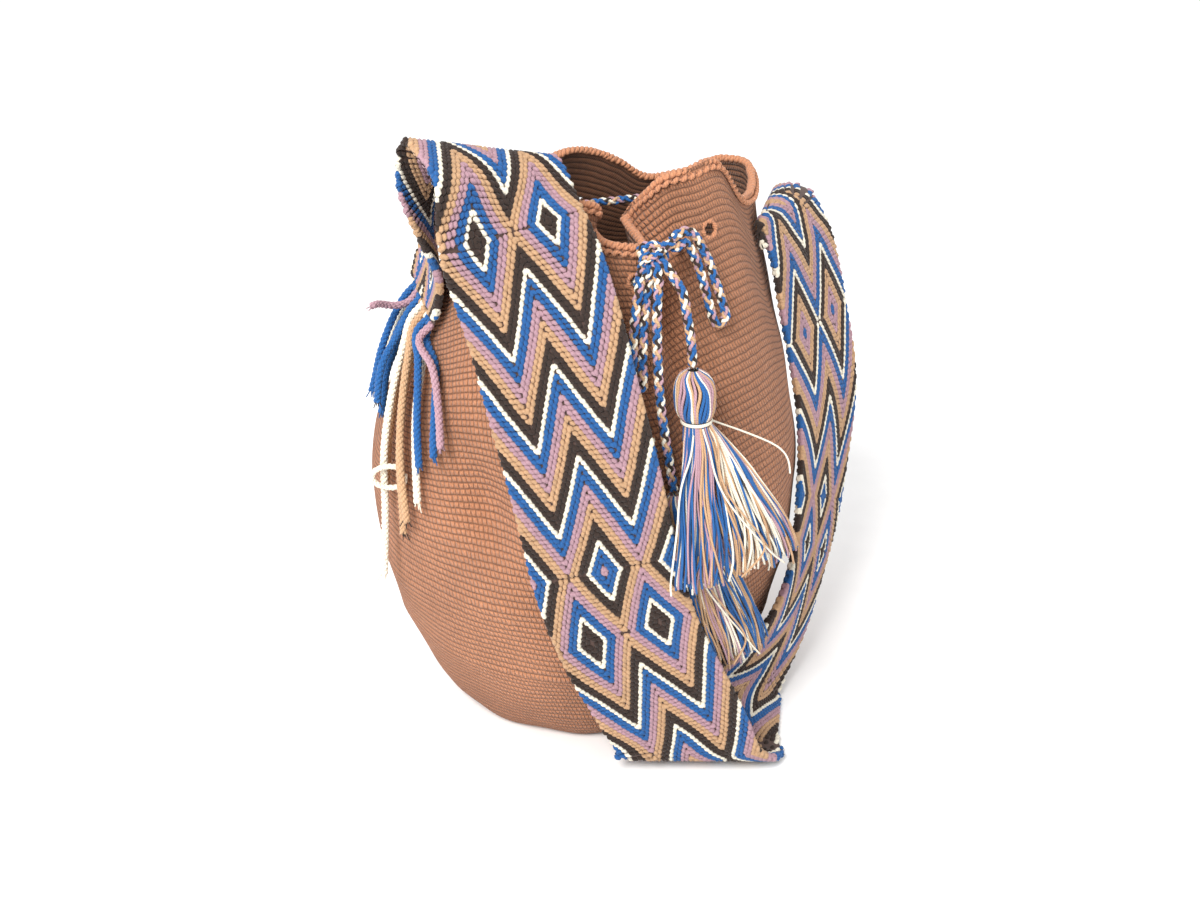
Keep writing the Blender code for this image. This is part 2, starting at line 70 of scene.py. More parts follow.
# strap centre line: x, y, z, heading of the width in degrees, its tilt
STRAP = [(-0.0915, -0.004, 0.266, 84, 4), (-0.0925, -0.005, 0.291, 82, 2),
         (-0.0930, -0.015, 0.321, 64, 0), (-0.0860, -0.039, 0.351, 24, -8),
         (-0.0810, -0.064, 0.368, 2, -12), (-0.0770, -0.085, 0.363, 20, -4),
         (-0.0760, -0.097, 0.341, 10, 8), (-0.0700, -0.109, 0.314, -12, 13),
         (-0.0640, -0.121, 0.284, -20, 14), (-0.0590, -0.130, 0.253, -20, 14),
         (-0.0520, -0.138, 0.217, -20, 13), (-0.0450, -0.142, 0.180, -18, 14),
         (-0.0370, -0.142, 0.141, -18, 14), (-0.0235, -0.142, 0.101, -18, 12),
         (-0.0060, -0.143, 0.063, -20, 9), (0.0080, -0.143, 0.0330, -20, 5),
         (0.0180, -0.140, 0.0110, -20, 0), (0.0300, -0.131, 0.0045, -14, -6),
         (0.0440, -0.1190, 0.0120, 2, -24), (0.0610, -0.1090, 0.0250, 24, -36),
         (0.0800, -0.1010, 0.0380, 38, -40), (0.1000, -0.0910, 0.0550, 44, -35),
         (0.1200, -0.0755, 0.0800, 46, -26),
         (0.1350, -0.0600, 0.1120, 43, -18), (0.1440, -0.0450, 0.1500, 40, -10),
         (0.1460, -0.0350, 0.1870, 37, -2), (0.1430, -0.0290, 0.2250, 37, 0),
         (0.1370, -0.0260, 0.2600, 38, 2), (0.1290, -0.0230, 0.2880, 41, 2),
         (0.1165, -0.0160, 0.3060, 47, 2), (0.1060, -0.0110, 0.3045, 56, 0),
         (0.1045, -0.0110, 0.2880, 56, 0)]

# fringe of the strap's left end: place across the end, layer, then way points
FRINGE = [
    (-0.034, 1, [(-0.1000, -0.050, 0.244), (-0.1040, -0.062, 0.226), (-0.1070, -0.072, 0.206)]),
    (-0.029, 0, [(-0.1040, -0.044, 0.244), (-0.1090, -0.055, 0.226), (-0.1130, -0.067, 0.198)]),
    (-0.024, 1, [(-0.1070, -0.038, 0.244), (-0.1130, -0.049, 0.226), (-0.1180, -0.061, 0.190)]),
    (-0.019, 0, [(-0.1090, -0.032, 0.244), (-0.1160, -0.043, 0.222), (-0.1210, -0.054, 0.190), (-0.1230, -0.059, 0.168)]),
    (-0.014, 1, [(-0.1100, -0.026, 0.244), (-0.1180, -0.036, 0.222), (-0.1240, -0.046, 0.190), (-0.1270, -0.054, 0.154)]),
    (-0.009, 0, [(-0.1110, -0.020, 0.244), (-0.1200, -0.029, 0.222), (-0.1270, -0.038, 0.190), (-0.1300, -0.047, 0.142)]),
    (-0.004, 1, [(-0.1120, -0.014, 0.246), (-0.1230, -0.022, 0.222), (-0.1310, -0.029, 0.190), (-0.1350, -0.034, 0.150), (-0.1370, -0.036, 0.112)]),
    (0.001, 0, [(-0.1120, -0.008, 0.244), (-0.1220, -0.015, 0.220), (-0.1290, -0.021, 0.192), (-0.1320, -0.026, 0.165)]),
    (0.006, 1, [(-0.1130, -0.002, 0.250), (-0.1240, -0.008, 0.236), (-0.1300, -0.013, 0.212)]),
    (0.011, 0, [(-0.1120, 0.004, 0.246), (-0.1220, 0.000, 0.228), (-0.1280, -0.004, 0.204)]),
    (0.016, 1, [(-0.1140, 0.010, 0.262), (-0.1260, 0.005, 0.266), (-0.1380, -0.001, 0.258)]),
    (0.021, 0, [(-0.1110, 0.015, 0.246), (-0.1210, 0.013, 0.224), (-0.1270, 0.009, 0.196)]),
    (0.026, 1, [(-0.1110, 0.021, 0.250), (-0.1210, 0.021, 0.228), (-0.1270, 0.019, 0.206)]),
    (0.031, 0, [(-0.1080, 0.027, 0.246), (-0.1170, 0.029, 0.226), (-0.1230, 0.030, 0.204)]),
]

# braided drawstring
KNOT = (-0.002, -0.1115, 0.3175)
LOOP_RIGHT = [(0.0092, -0.1130, 0.3230), (0.0200, -0.1070, 0.3235), (0.0285, -0.1045, 0.3120), (0.0362, -0.1042, 0.2919), (0.0419, -0.1057, 0.2722)]
LOOP_LEFT = [(-0.006, -0.113, 0.305), (-0.011, -0.119, 0.288), (-0.014, -0.124, 0.268), (-0.0150, -0.127, 0.248)]
TAIL_FRONT = [(0.006, -0.1195, 0.3085), (0.010, -0.1250, 0.300), (0.0125, -0.1275, 0.285), (0.0145, -0.1285, 0.272), (0.0155, -0.1290, 0.2590)]
TAIL_REAR = [(-0.001, -0.1195, 0.3040), (-0.0035, -0.1240, 0.294), (-0.0045, -0.1275, 0.270), (-0.0035, -0.1310, 0.240), (0.0000, -0.1340, 0.212), (0.0030, -0.1360, 0.1900)]
RUN = [(-0.0080, -0.0740, 0.3010), (-0.0085, -0.0480, 0.3000), (-0.024, -0.0420, 0.299), (-0.046, -0.0440, 0.297), (-0.067, -0.0220, 0.285), (-0.067, 0.0000, 0.276),
       (-0.056, 0.0200, 0.281), (-0.030, 0.0350, 0.293), (0.005, 0.0420, 0.300), (0.040, 0.0470, 0.300),
       (0.075, 0.0450, 0.300), (0.096, 0.0300, 0.303), (0.0970, 0.0030, 0.304), (0.080, -0.0250, 0.308), (0.058, -0.0460, 0.314),
       (0.034, -0.0520, 0.316)]

# tassels: x, y, z, half width, half depth of each section from the top
TASSEL_FRONT = [(0.0158, -0.1290, 0.2565, 0.0030, 0.0030), (0.0160, -0.1292, 0.2535, 0.0085, 0.0080),
                (0.0162, -0.1300, 0.2480, 0.0118, 0.0108), (0.0164, -0.1310, 0.2400, 0.0125, 0.0112),
                (0.0166, -0.1320, 0.2330, 0.0112, 0.0100), (0.0168, -0.1330, 0.2285, 0.0080, 0.0070),
                (0.0172, -0.1345, 0.2235, 0.0110, 0.0085), (0.0190, -0.1380, 0.2100, 0.0180, 0.0090),
                (0.0250, -0.1440, 0.1850, 0.0260, 0.0085), (0.0310, -0.1490, 0.1600, 0.0340, 0.0080),
                (0.0345, -0.1510, 0.1440, 0.0370, 0.0075)]
TASSEL_REAR = [(0.0030, -0.1362, 0.1878, 0.0030, 0.0030), (0.0036, -0.1362, 0.1850, 0.0070, 0.0042),
               (0.0052, -0.1364, 0.1790, 0.0100, 0.0046), (0.0075, -0.1366, 0.1720, 0.0105, 0.0046),
               (0.0100, -0.1368, 0.1660, 0.0075, 0.0042), (0.0135, -0.1371, 0.1580, 0.0125, 0.0048),
               (0.0220, -0.1382, 0.1350, 0.0200, 0.0056), (0.0300, -0.1384, 0.1100, 0.0240, 0.0060),
               (0.0370, -0.1370, 0.0900, 0.0250, 0.0058), (0.0420, -0.1350, 0.0720, 0.0250, 0.0056)]


# eyelets: turn fraction and height fraction of each
EYELETS = [(0.994, 0.930), (0.062, 0.895), (0.105, 0.90), (0.235, 0.90), (0.34, 0.90),
           (0.44, 0.90), (0.545, 0.90), (0.66, 0.90), (0.80, 0.90), (0.875, 0.90)]


# ------------------------------------------------------------------ helpers
def spline(points, t):
    """Hermite curve through rows of numbers, evaluated at the parameters t in 0..1 of its chord length."""
    p = np.asarray(points, float)
    d = np.r_[0.0, np.cumsum(np.linalg.norm(np.diff(p[:, :3], axis=0), axis=1))]
    m = np.gradient(p, d, axis=0)
    s = np.asarray(t) * d[-1]
    i = np.clip(np.searchsorted(d, s, side="right") - 1, 0, len(p) - 2)
    h = (d[i + 1] - d[i])[:, None]
    u = ((s - d[i]) / (d[i + 1] - d[i]))[:, None]
    return ((2 * u**3 - 3 * u * u + 1) * p[i] + (u**3 - 2 * u * u + u) * h * m[i]
            + (3 * u * u - 2 * u**3) * p[i + 1] + (u**3 - u * u) * h * m[i + 1])


def rim_curve(u):
    """Point of the rim at the turn fraction u (closed curve)."""
    r = np.asarray(RIM)
    k = np.r_[r[-3:, 0] - 1, r[:, 0], r[:3, 0] + 1]
    p = np.r_[r[-3:, 1:], r[:, 1:], r[:3, 1:]]
    m = np.gradient(p, k, axis=0)
    u = np.asarray(u, float) % 1.0
    i = np.searchsorted(k, u, side="right") - 1
    h = (k[i + 1] - k[i])[:, None]
    x = ((u - k[i]) / (k[i + 1] - k[i]))[:, None]
    return ((2 * x**3 - 3 * x * x + 1) * p[i] + (x**3 - 2 * x * x + x) * h * m[i]
            + (3 * x * x - 2 * x**3) * p[i + 1] + (x**3 - x * x) * h * m[i + 1])


def rim_smooth(u):
    """The rim without its pleats: a running mean over about an eighth of a turn."""
    return sum(rim_curve(np.asarray(u) + o) for o in np.linspace(-0.06, 0.06, 7)) / 7.0


def wall(u, v):
    """Outer face of the crocheted wall; u turns from the front towards +X, v runs 0..1 from the base edge to the rim."""
    u, v = np.broadcast_arrays(np.asarray(u, float), np.asarray(v, float))
    shape = u.shape
    u, v = u.ravel(), v.ravel()
    ang = 2 * math.pi * u - math.pi / 2
    split = 0.45
    prof = np.asarray(PROFILE)
    arc = np.r_[0.0, np.cumsum(np.hypot(*np.diff(prof, axis=0).T))]
    low = np.clip(v / split, 0, 1) * arc[-1]
    rad = np.interp(low, arc, prof[:, 1])
    height = np.interp(low, arc, prof[:, 0])
    out = np.stack([rad * np.cos(ang), rad * np.sin(ang), height], 1)
    t = np.clip((v - split) / (1 - split), 0, 1)[:, None]
    ring = np.stack([prof[-1, 1] * np.cos(ang), prof[-1, 1] * np.sin(ang), np.full_like(ang, RING_Z)], 1)
    smooth = rim_smooth(u)
    pleat = rim_curve(u) - smooth
    rise = smooth[:, 2:] - RING_Z
    m0 = np.concatenate([np.zeros((len(u), 2)), rise * 1.05], 1)
    inward = smooth - ring
    m1 = np.concatenate([inward[:, :2] * 0.9, rise * 0.9], 1)
    up = ((2 * t**3 - 3 * t * t + 1) * ring + (t**3 - 2 * t * t + t) * m0
          + (3 * t * t - 2 * t**3) * smooth + (t**3 - t * t) * m1)
    up = up + pleat * t**1.6
    out = np.where(v[:, None] > split, up, out)
    # soft hollow pressed in at the left front, and a slow waviness of the soft wall
    du = (u - 0.865 + 0.5) % 1.0 - 0.5
    hollow = 0.008 * np.exp(-(du / 0.035) ** 2 - ((v - 0.50) / 0.09) ** 2)
    wave = 0.0012 * np.sin(2 * math.pi * 3 * u + 1.3) * np.sin(math.pi * np.clip(v * 1.1, 0, 1))
    shift = wave - hollow
    out[:, 0] += shift * np.cos(ang)
    out[:, 1] += shift * np.sin(ang)
    return out.reshape(shape + (3,))


SKIN = []


def skin():
    """Search tree of the outer wall, for keeping pieces clear of it."""
    if not SKIN:
        grid = wall(np.arange(168)[None, :] / 168, np.linspace(0, 1, 60)[:, None])
        points = grid.reshape(-1, 3)
        SKIN.append(BVHTree.FromPolygons([tuple(p) for p in points], grid_faces(60, 168, True)))
    return SKIN[0]


def height_above(point):
    """Signed distance of a point outside the wall and the wall's outward direction there."""
    near, normal, _, away = skin().find_nearest(Vector(point))
    over = (Vector(point) - near).dot(normal)
    if abs(over) < 0.8 * away:
        over = away     # beside the rim's edge, where the wall has ended
    return over, np.array(normal)


def clear(point, gap):
    """The point, moved straight out until it is at least gap away from the wall."""
    point = np.array(point, float)
    for _ in range(4):
        over, out = height_above(point)
        if over < gap:
            point = point + out * (gap - over)
    return point


def soften(rows, passes):
    rows = np.array(rows, float)
    for _ in range(passes):
        rows[1:-1] = 0.25 * rows[:-2] + 0.5 * rows[1:-1] + 0.25 * rows[2:]
    return rows


def grid_faces(rows, cols, closed):
    last = cols if closed else cols - 1
    return [(r * cols + c, r * cols + (c + 1) % cols, (r + 1) * cols + (c + 1) % cols, (r + 1) * cols + c)
            for r in range(rows - 1) for c in range(last)]


def rulings(centre, width):
    """Direction of travel, and half the length of each ruling so that the strap keeps its width where the ruling is askew."""
    travel = np.gradient(centre, axis=0)
    travel /= np.linalg.norm(travel, axis=1)[:, None]
    lean = (width * travel).sum(1)
    kept = np.clip(lean, -0.62, 0.62)
    width = width - (lean - kept)[:, None] * travel
    width /= np.linalg.norm(width, axis=1)[:, None]
    return travel, width, STRAP_WIDTH / 2 / np.sqrt(1 - (width * travel).sum(1)**2)


def strap_frames(count):
    """Centre, direction of travel, width direction and face normal along the strap."""
    rows = np.asarray(STRAP, float)
    yaw, tilt = np.radians(rows[:, 3]), np.radians(rows[:, 4])
    width = np.stack([np.cos(tilt) * np.cos(yaw), np.cos(tilt) * np.sin(yaw), np.sin(tilt)], 1)
    path = spline(np.concatenate([rows[:, :3], width], 1), np.linspace(0, 1, count))
    centre, width = path[:, :3], path[:, 3:]
    for _ in range(14):
        # the strap leans on the wall and on the floor without entering either
        push = np.zeros_like(centre)
        _, turned, reach = rulings(centre, width)
        for k in range(count):
            need = 0.0
            for x in np.linspace(-1.0, 1.0, 9):
                here = centre[k] + turned[k] * x * reach[k]
                over, out = height_above(here)
                if -0.008 < over < STRAP_THICK and STRAP_THICK - over > need:
                    need = STRAP_THICK - over
                    push[k] = out * need
            low = centre[k, 2] - abs(turned[k, 2]) * reach[k]
            push[k, 2] += max(0.0, STRAP_THICK / 2 + 0.0008 - low)
        push = soften(push, 8)
        centre = centre + 1.15 * push
    travel, width, reach = rulings(centre, width)
    normal = np.cross(travel, width)
    normal /= np.linalg.norm(normal, axis=1)[:, None]
    low = centre[:, 2] - np.abs(width[:, 2]) * reach - np.abs(normal[:, 2]) * STRAP_THICK / 2 - 0.0006
    centre[:, 2] += np.maximum(0.0, -low)
    return centre, travel, width, normal, reach


def fringe_path(place, layer, way):
    """Way points of one fringe cord, from the cut edge of the strap's left end down over the wall."""
    centre, travel, width, normal, _ = strap_frames(120)
    root = centre[0] + width[0] * place - travel[0] * 0.0016
    lift = 0.0028 + 0.0046 * layer
    points = [root, root - travel[0] * 0.009 + normal[0] * 0.0045 * layer]
    return np.array(points + [clear(p, lift) + (0.0023 * layer) * np.array([-1.0, 0.0, 0.0]) for p in way])


def eyelet(u, v):
    """Centre and outward direction of an eyelet."""
    along = wall([u + 0.004], [v])[0] - wall([u - 0.004], [v])[0]
    upward = wall([u], [v + 0.01])[0] - wall([u], [v - 0.01])[0]
    out = np.cross(along, upward)
    return wall([u], [v])[0], out / np.linalg.norm(out)


# ------------------------------------------------------------- camera and light
def place_camera():
    az, el = math.radians(-20.0), math.radians(25.0)
    back = Vector((math.sin(az) * math.cos(el), -math.cos(az) * math.cos(el), math.sin(el)))
    target = Vector((0.0085, -0.0031, 0.155))
    data = bpy.data.cameras.new("camera")
    data.sensor_width = 36.0
    data.lens = 36.0 * 1590.0 / 1200.0
    data.clip_start = 0.02
    cam = bpy.data.objects.new("camera", data)
    cam.location = target + back
    cam.rotation_euler = (-back).to_track_quat("-Z", "Y").to_euler()
    bpy.context.scene.collection.objects.link(cam)
    bpy.context.scene.camera = cam


def area_light(name, place, aim, size, power, colour=(1, 1, 1)):
    data = bpy.data.lights.new(name, "AREA")
    data.shape = "DISK"
    data.size = size
    data.energy = power
    data.color = colour
    lamp = bpy.data.objects.new(name, data)
    lamp.location = place
    lamp.rotation_euler = (Vector(aim) - Vector(place)).to_track_quat("-Z", "Y").to_euler()
    bpy.context.scene.collection.objects.link(lamp)


# ---------------------------------------------------------- node expressions
class Num:
    """A number in a node tree, so that a height or a mask is written as a formula."""

    def __init__(self, tree, socket):
        self.tree, self.socket = tree, socket

    def op(self, kind, *others, clamp=False):
        node = self.tree.nodes.new("ShaderNodeMath")
        node.operation = kind
        node.use_clamp = clamp
        for slot_number, value in enumerate((self,) + others):
            if isinstance(value, Num):
                self.tree.links.new(value.socket, node.inputs[slot_number])
            else:
                node.inputs[slot_number].default_value = float(value)
        return Num(self.tree, node.outputs[0])

    def __add__(self, other):
        return self.op("ADD", other)

    def __sub__(self, other):
        return self.op("SUBTRACT", other)

    def __mul__(self, other):
        return self.op("MULTIPLY", other)

    def __truediv__(self, other):
        return self.op("DIVIDE", other)

    def fract(self):
        return self.op("FRACT")

    def floor(self):
        return self.op("FLOOR")

    def abs(self):
        return self.op("ABSOLUTE")

    def power(self, value):
        return self.op("POWER", value)

    def sin(self):
        return self.op("SINE")

    def less(self, value):
        return self.op("LESS_THAN", value)

    def clip(self):
        return self.op("ADD", 0.0, clamp=True)

    def flip(self):
        """1 - x"""
        return Num.op(self * -1.0, "ADD", 1.0)


def tree_of(name):
    mat = bpy.data.materials.new(name)
    mat.use_nodes = True
    tree = mat.node_tree
    return mat, tree, tree.nodes["Principled BSDF"]


def uv_of(tree, layer):
    node = tree.nodes.new("ShaderNodeUVMap")
    node.uv_map = layer
    split = tree.nodes.new("ShaderNodeSeparateXYZ")
    tree.links.new(node.outputs[0], split.inputs[0])
    return node, Num(tree, split.outputs[0]), Num(tree, split.outputs[1])


def noise(tree, scale, detail=2.0, vector=None):
    node = tree.nodes.new("ShaderNodeTexNoise")
    node.inputs["Scale"].default_value = scale
    node.inputs["Detail"].default_value = detail
    if vector is None:
        where = tree.nodes.new("ShaderNodeTexCoord")
        vector = where.outputs["Object"]
    tree.links.new(vector, node.inputs["Vector"])
    return Num(tree, node.outputs["Fac"])


def ramp(tree, value, stops):
    node = tree.nodes.new("ShaderNodeValToRGB")
    tree.links.new(value.socket, node.inputs[0])
    ramp_data = node.color_ramp
    while len(ramp_data.elements) < len(stops):
        ramp_data.elements.new(0.5)
    for element, (place, colour) in zip(ramp_data.elements, stops):
        element.position = place
        element.color = (*colour, 1.0)
    return node.outputs[0]


def mix(tree, factor, first, second, kind="MIX"):
    node = tree.nodes.new("ShaderNodeMix")
    node.data_type = "RGBA"
    node.blend_type = kind
    for value, socket in ((factor, node.inputs[0]), (first, node.inputs[6]), (second, node.inputs[7])):
        if isinstance(value, Num):
            tree.links.new(value.socket, socket)
        elif isinstance(value, (int, float)):
            socket.default_value = value
        elif isinstance(value, tuple):
            socket.default_value = (*value, 1.0)
        else:
            tree.links.new(value, socket)
    return node.outputs[2]


def bump(tree, shader, height, distance, strength=1.0):
    node = tree.nodes.new("ShaderNodeBump")
    node.inputs["Distance"].default_value = distance
    node.inputs["Strength"].default_value = strength
    tree.links.new(height.socket, node.inputs["Height"])
    tree.links.new(node.outputs[0], shader.inputs["Normal"])


def linear(red, green, blue):
    """Scene colour of a screen colour given in 0..255."""
    def one(c):
        c /= 255.0
        return c / 12.92 if c <= 0.04045 else ((c + 0.055) / 1.055) ** 2.4
    return one(red), one(green), one(blue)


def scaled(colour, factor):
    return tuple(min(1.0, c * factor) for c in colour)


# colours of the yarns
BLUE, WHITE, MAUVE, TAN, DARK = (linear(36, 88, 146), linear(226, 219, 202), linear(168, 134, 144),
                                 linear(184, 148, 114), linear(52, 40, 35))
CARAMEL = linear(184, 127, 94)
YARNS = {"white": WHITE, "blue": BLUE, "mauve": MAUVE, "tan": TAN, "dark": DARK}


def cotton(shader, rough=0.88):
    shader.inputs["Roughness"].default_value = rough
    shader.inputs["Specular IOR Level"].default_value = 0.25
    shader.inputs["Sheen Weight"].default_value = 0.12
    shader.inputs["Sheen Roughness"].default_value = 0.5


def crochet_material(name, base, painted_groove_shade):
    """Single crochet: U counts stitches round the bag and V counts rounds."""
    mat, tree, shader = tree_of(name)
    uv, u, v = uv_of(tree, "stitches")
    drift = noise(tree, 9.0, 3.0) * 0.55
    rough = noise(tree, 150.0, 2.0)
    v2 = v + drift + rough * 0.34
    row = v2.fract()
    ridge = ((row * 2.0 - 1.0).abs().power(2.2)).flip()
    cell = (u + v2.floor() * 0.5 + row * 0.42 + drift + noise(tree, 110.0, 2.0) * 0.9).fract()
    side = (cell * 2.0 - 1.0).abs()
    dome = side.power(1.8).flip()
    leg = (((side - (row * 0.42 + 0.24)) / 0.40).abs().clip()).power(2.0).flip() * 0.35 + dome * 0.65
    strands = ((u * 6.0 + row * 3.0).fract() * 2.0 - 1.0).abs()
    fuzz = noise(tree, 1400.0, 2.0)
    height = ridge * (leg * 0.74 + 0.24) + strands * 0.05 + fuzz * 0.30
    bump(tree, shader, height, 0.00185, 1.0)
    broad = noise(tree, 16.0, 4.0)
    # painted shade: the colour falls from the base colour to the dark groove colour where the stitch relief is low,
    # darkening the grooves between stitches and rounds
    tone = mix(tree, height.op("MULTIPLY_ADD", 1.55, -0.16, clamp=True), painted_groove_shade, base)
    warm = ramp(tree, broad, [(0.30, (0.84, 0.81, 0.79)), (0.70, (1.08, 1.06, 1.04))])
    fleck = ramp(tree, noise(tree, 620.0, 3.0), [(0.30, (0.82, 0.80, 0.78)), (0.70, (1.10, 1.10, 1.10))])
    colour = mix(tree, 1.0, mix(tree, 1.0, tone, warm, "MULTIPLY"), fleck, "MULTIPLY")
    tree.links.new(colour, shader.inputs["Base Color"])
    cotton(shader, 0.92)
    return mat


def yarn_material(name, colour, ply=True, depth=0.00022):
    """Twisted cotton yarn: where a tube carries the layer ply, U runs round it and V along it in millimetres."""
    mat, tree, shader = tree_of(name)
    fine = noise(tree, 1700.0, 3.0)
    height = fine * 0.5
    if ply:
        _, u, v = uv_of(tree, "ply")
        turn = (u * 2.0 + v * 0.62).fract()
        height = height + ((turn * 2.0 - 1.0).abs().power(1.6)).flip() * 0.8
    bump(tree, shader, height, depth, 1.0)
    # painted shade and light: the colour darkens where the bump height is low and lightens where it is high (painted
    # shade in the grooves of the twist, painted light on its ridges), with random noise mixed in
    low = scaled(colour, 0.62)
    high = scaled(colour, 1.16)
    mid = noise(tree, 420.0, 3.0)
    value = (height * 0.55 + mid * 0.55 - 0.08)
    tree.links.new(ramp(tree, value, [(0.12, low), (0.45, colour), (0.85, high)]), shader.inputs["Base Color"])
    cotton(shader)
    return mat


# ------------------------------------------------------------------ mesh helpers
def build(name, points, faces, mats, which=None, uv=None, layer="ply", smooth=True):
    """Mesh object from arrays of points and of triangles or quads; uv holds one pair for each corner of each face."""
    points, faces = np.asarray(points, np.float32), np.asarray(faces, np.int32)
    count, corners = faces.shape
    mesh = bpy.data.meshes.new(name)
    mesh.vertices.add(len(points))
    mesh.vertices.foreach_set("co", points.ravel())
    mesh.loops.add(count * corners)
    mesh.loops.foreach_set("vertex_index", faces.ravel())
    mesh.polygons.add(count)
    mesh.polygons.foreach_set("loop_start", np.arange(0, count * corners, corners, dtype=np.int32))
    mesh.polygons.foreach_set("use_smooth", np.full(count, smooth))
    if which is not None:
        mesh.polygons.foreach_set("material_index", np.asarray(which, np.int32))
    if uv is not None:
        made = mesh.uv_layers.new(name=layer)
        made.data.foreach_set("uv", np.asarray(uv, np.float32).ravel())
    mesh.update(calc_edges=True)
    mesh.validate()
    for mat in mats:
        mesh.materials.append(mat)
    obj = bpy.data.objects.new(name, mesh)
    bpy.context.scene.collection.objects.link(obj)
    return obj


def carry(path):
    """Directions along, and two across, a path, without needless twist."""
    travel = np.gradient(path, axis=0)
    travel /= np.linalg.norm(travel, axis=1)[:, None] + 1e-12
    first = np.cross(travel[0], (0.31, 0.17, 0.93))
    if np.linalg.norm(first) < 0.2:
        first = np.cross(travel[0], (0.93, 0.31, 0.17))
    across = np.empty_like(path)
    across[0] = first / np.linalg.norm(first)
    for k in range(1, len(path)):
        turned = across[k - 1] - travel[k] * across[k - 1].dot(travel[k])
        across[k] = turned / np.linalg.norm(turned)
    return travel, across, np.cross(travel, across)


class Bundle:
    """Many swept strands gathered into one mesh, each with its own yarn."""

    def __init__(self):
        self.points, self.faces, self.which, self.uv, self.count = [], [], [], [], 0

    def sweep(self, path, radius, sides, yarn, squeeze=None, phase=0.0):
        path = np.asarray(path, float)
        n = len(path)
        travel, across, other = carry(path)
        radius = np.broadcast_to(np.asarray(radius, float), (n,))
        ang = 2 * np.pi * (np.arange(sides) / sides) + phase
        ring = (across[:, None, :] * np.cos(ang)[None, :, None] + other[:, None, :] * np.sin(ang)[None, :, None])
        pts = path[:, None, :] + ring * radius[:, None, None]
        tips = np.stack([path[0] - travel[0] * radius[0] * 0.55, path[-1] + travel[-1] * radius[-1] * 0.55])
        base = self.count
        self.points.append(np.concatenate([pts.reshape(-1, 3), tips]))
        r, c = np.meshgrid(np.arange(n - 1), np.arange(sides), indexing="ij")
        r, c = r.ravel(), c.ravel()
        d = (c + 1) % sides
        a, b, e, f = r * sides + c, r * sides + d, (r + 1) * sides + d, (r + 1) * sides + c
        along = np.r_[0.0, np.cumsum(np.linalg.norm(np.diff(path, axis=0), axis=1))] * 1000.0
        ua, ub, va, vb = c / sides, (c + 1) / sides, along[r], along[r + 1]
        tri = np.concatenate([np.stack([a, b, e], 1), np.stack([a, e, f], 1)])
        uv = np.concatenate([np.stack([ua, va, ub, va, ub, vb], 1), np.stack([ua, va, ub, vb, ua, vb], 1)])
        k = np.arange(sides)
        k2 = (k + 1) % sides
        start = np.stack([k2, k, np.full(sides, n * sides)], 1)
        end = np.stack([(n - 1) * sides + k, (n - 1) * sides + k2, np.full(sides, n * sides + 1)], 1)
        tri = np.concatenate([tri, start, end])
        flat = np.zeros((2 * sides, 6))
        uv = np.concatenate([uv, flat])
        self.faces.append(tri + base)
        self.uv.append(uv)
        self.which.append(np.full(len(tri), yarn))
        self.count += n * sides + 2

    def make(self, name, mats):
        return build(name, np.concatenate(self.points), np.concatenate(self.faces), mats,
                     np.concatenate(self.which), np.concatenate(self.uv).reshape(-1, 2))


def even(path, step):
    """The path resampled at even steps."""
    path = np.asarray(path, float)
    d = np.r_[0.0, np.cumsum(np.linalg.norm(np.diff(path, axis=0), axis=1))]
    count = max(4, int(round(d[-1] / step)) + 1)
    s = np.linspace(0, d[-1], count)
    return np.stack([np.interp(s, d, path[:, k]) for k in range(3)], 1)


def smooth_path(points, step):
    return even(spline(points, np.linspace(0, 1, 400)), step)


def rope(bundle, path, diameter, yarns, pitch, sides=6, hand=1.0):
    """Strands laid round each other along the path."""
    travel, across, other = carry(path)
    along = np.r_[0.0, np.cumsum(np.linalg.norm(np.diff(path, axis=0), axis=1))]
    strand = diameter * (0.29 if len(yarns) == 2 else 0.27)
    reach = diameter / 2 - strand
    for k, yarn in enumerate(yarns):
        turn = hand * 2 * np.pi * along / pitch + 2 * np.pi * k / len(yarns)
        line = path + across * (reach * np.cos(turn))[:, None] + other * (reach * np.sin(turn))[:, None]
        bundle.sweep(line, strand, sides, yarn)


def braid(bundle, path, diameter, pitch=0.0175, sides=6, skip=()):
    """Round braid of six yarns: three turn one way and three the other, over and under each other."""
    travel, across, other = carry(path)
    along = np.r_[0.0, np.cumsum(np.linalg.norm(np.diff(path, axis=0), axis=1))]
    strand = diameter * 0.185
    for hand, yarns in ((1.0, (0, 1, 2)), (-1.0, (3, 1, 4))):
        for k, yarn in enumerate(yarns):
            turn = hand * 2 * np.pi * along / pitch + 2 * np.pi * k / 3
            lift = 0.115 * diameter * np.cos(3 * 2 * np.pi * along / pitch + (0 if hand > 0 else np.pi))
            reach = diameter / 2 - strand * 1.12 - 0.115 * diameter + 0.10 * diameter + lift * 0.6
            line = path + across * (reach * np.cos(turn))[:, None] + other * (reach * np.sin(turn))[:, None]
            bundle.sweep(line, strand, sides, yarn)


# ------------------------------------------------------------------- bag body
ROUNDS = 88.0
STITCHES = 286.0


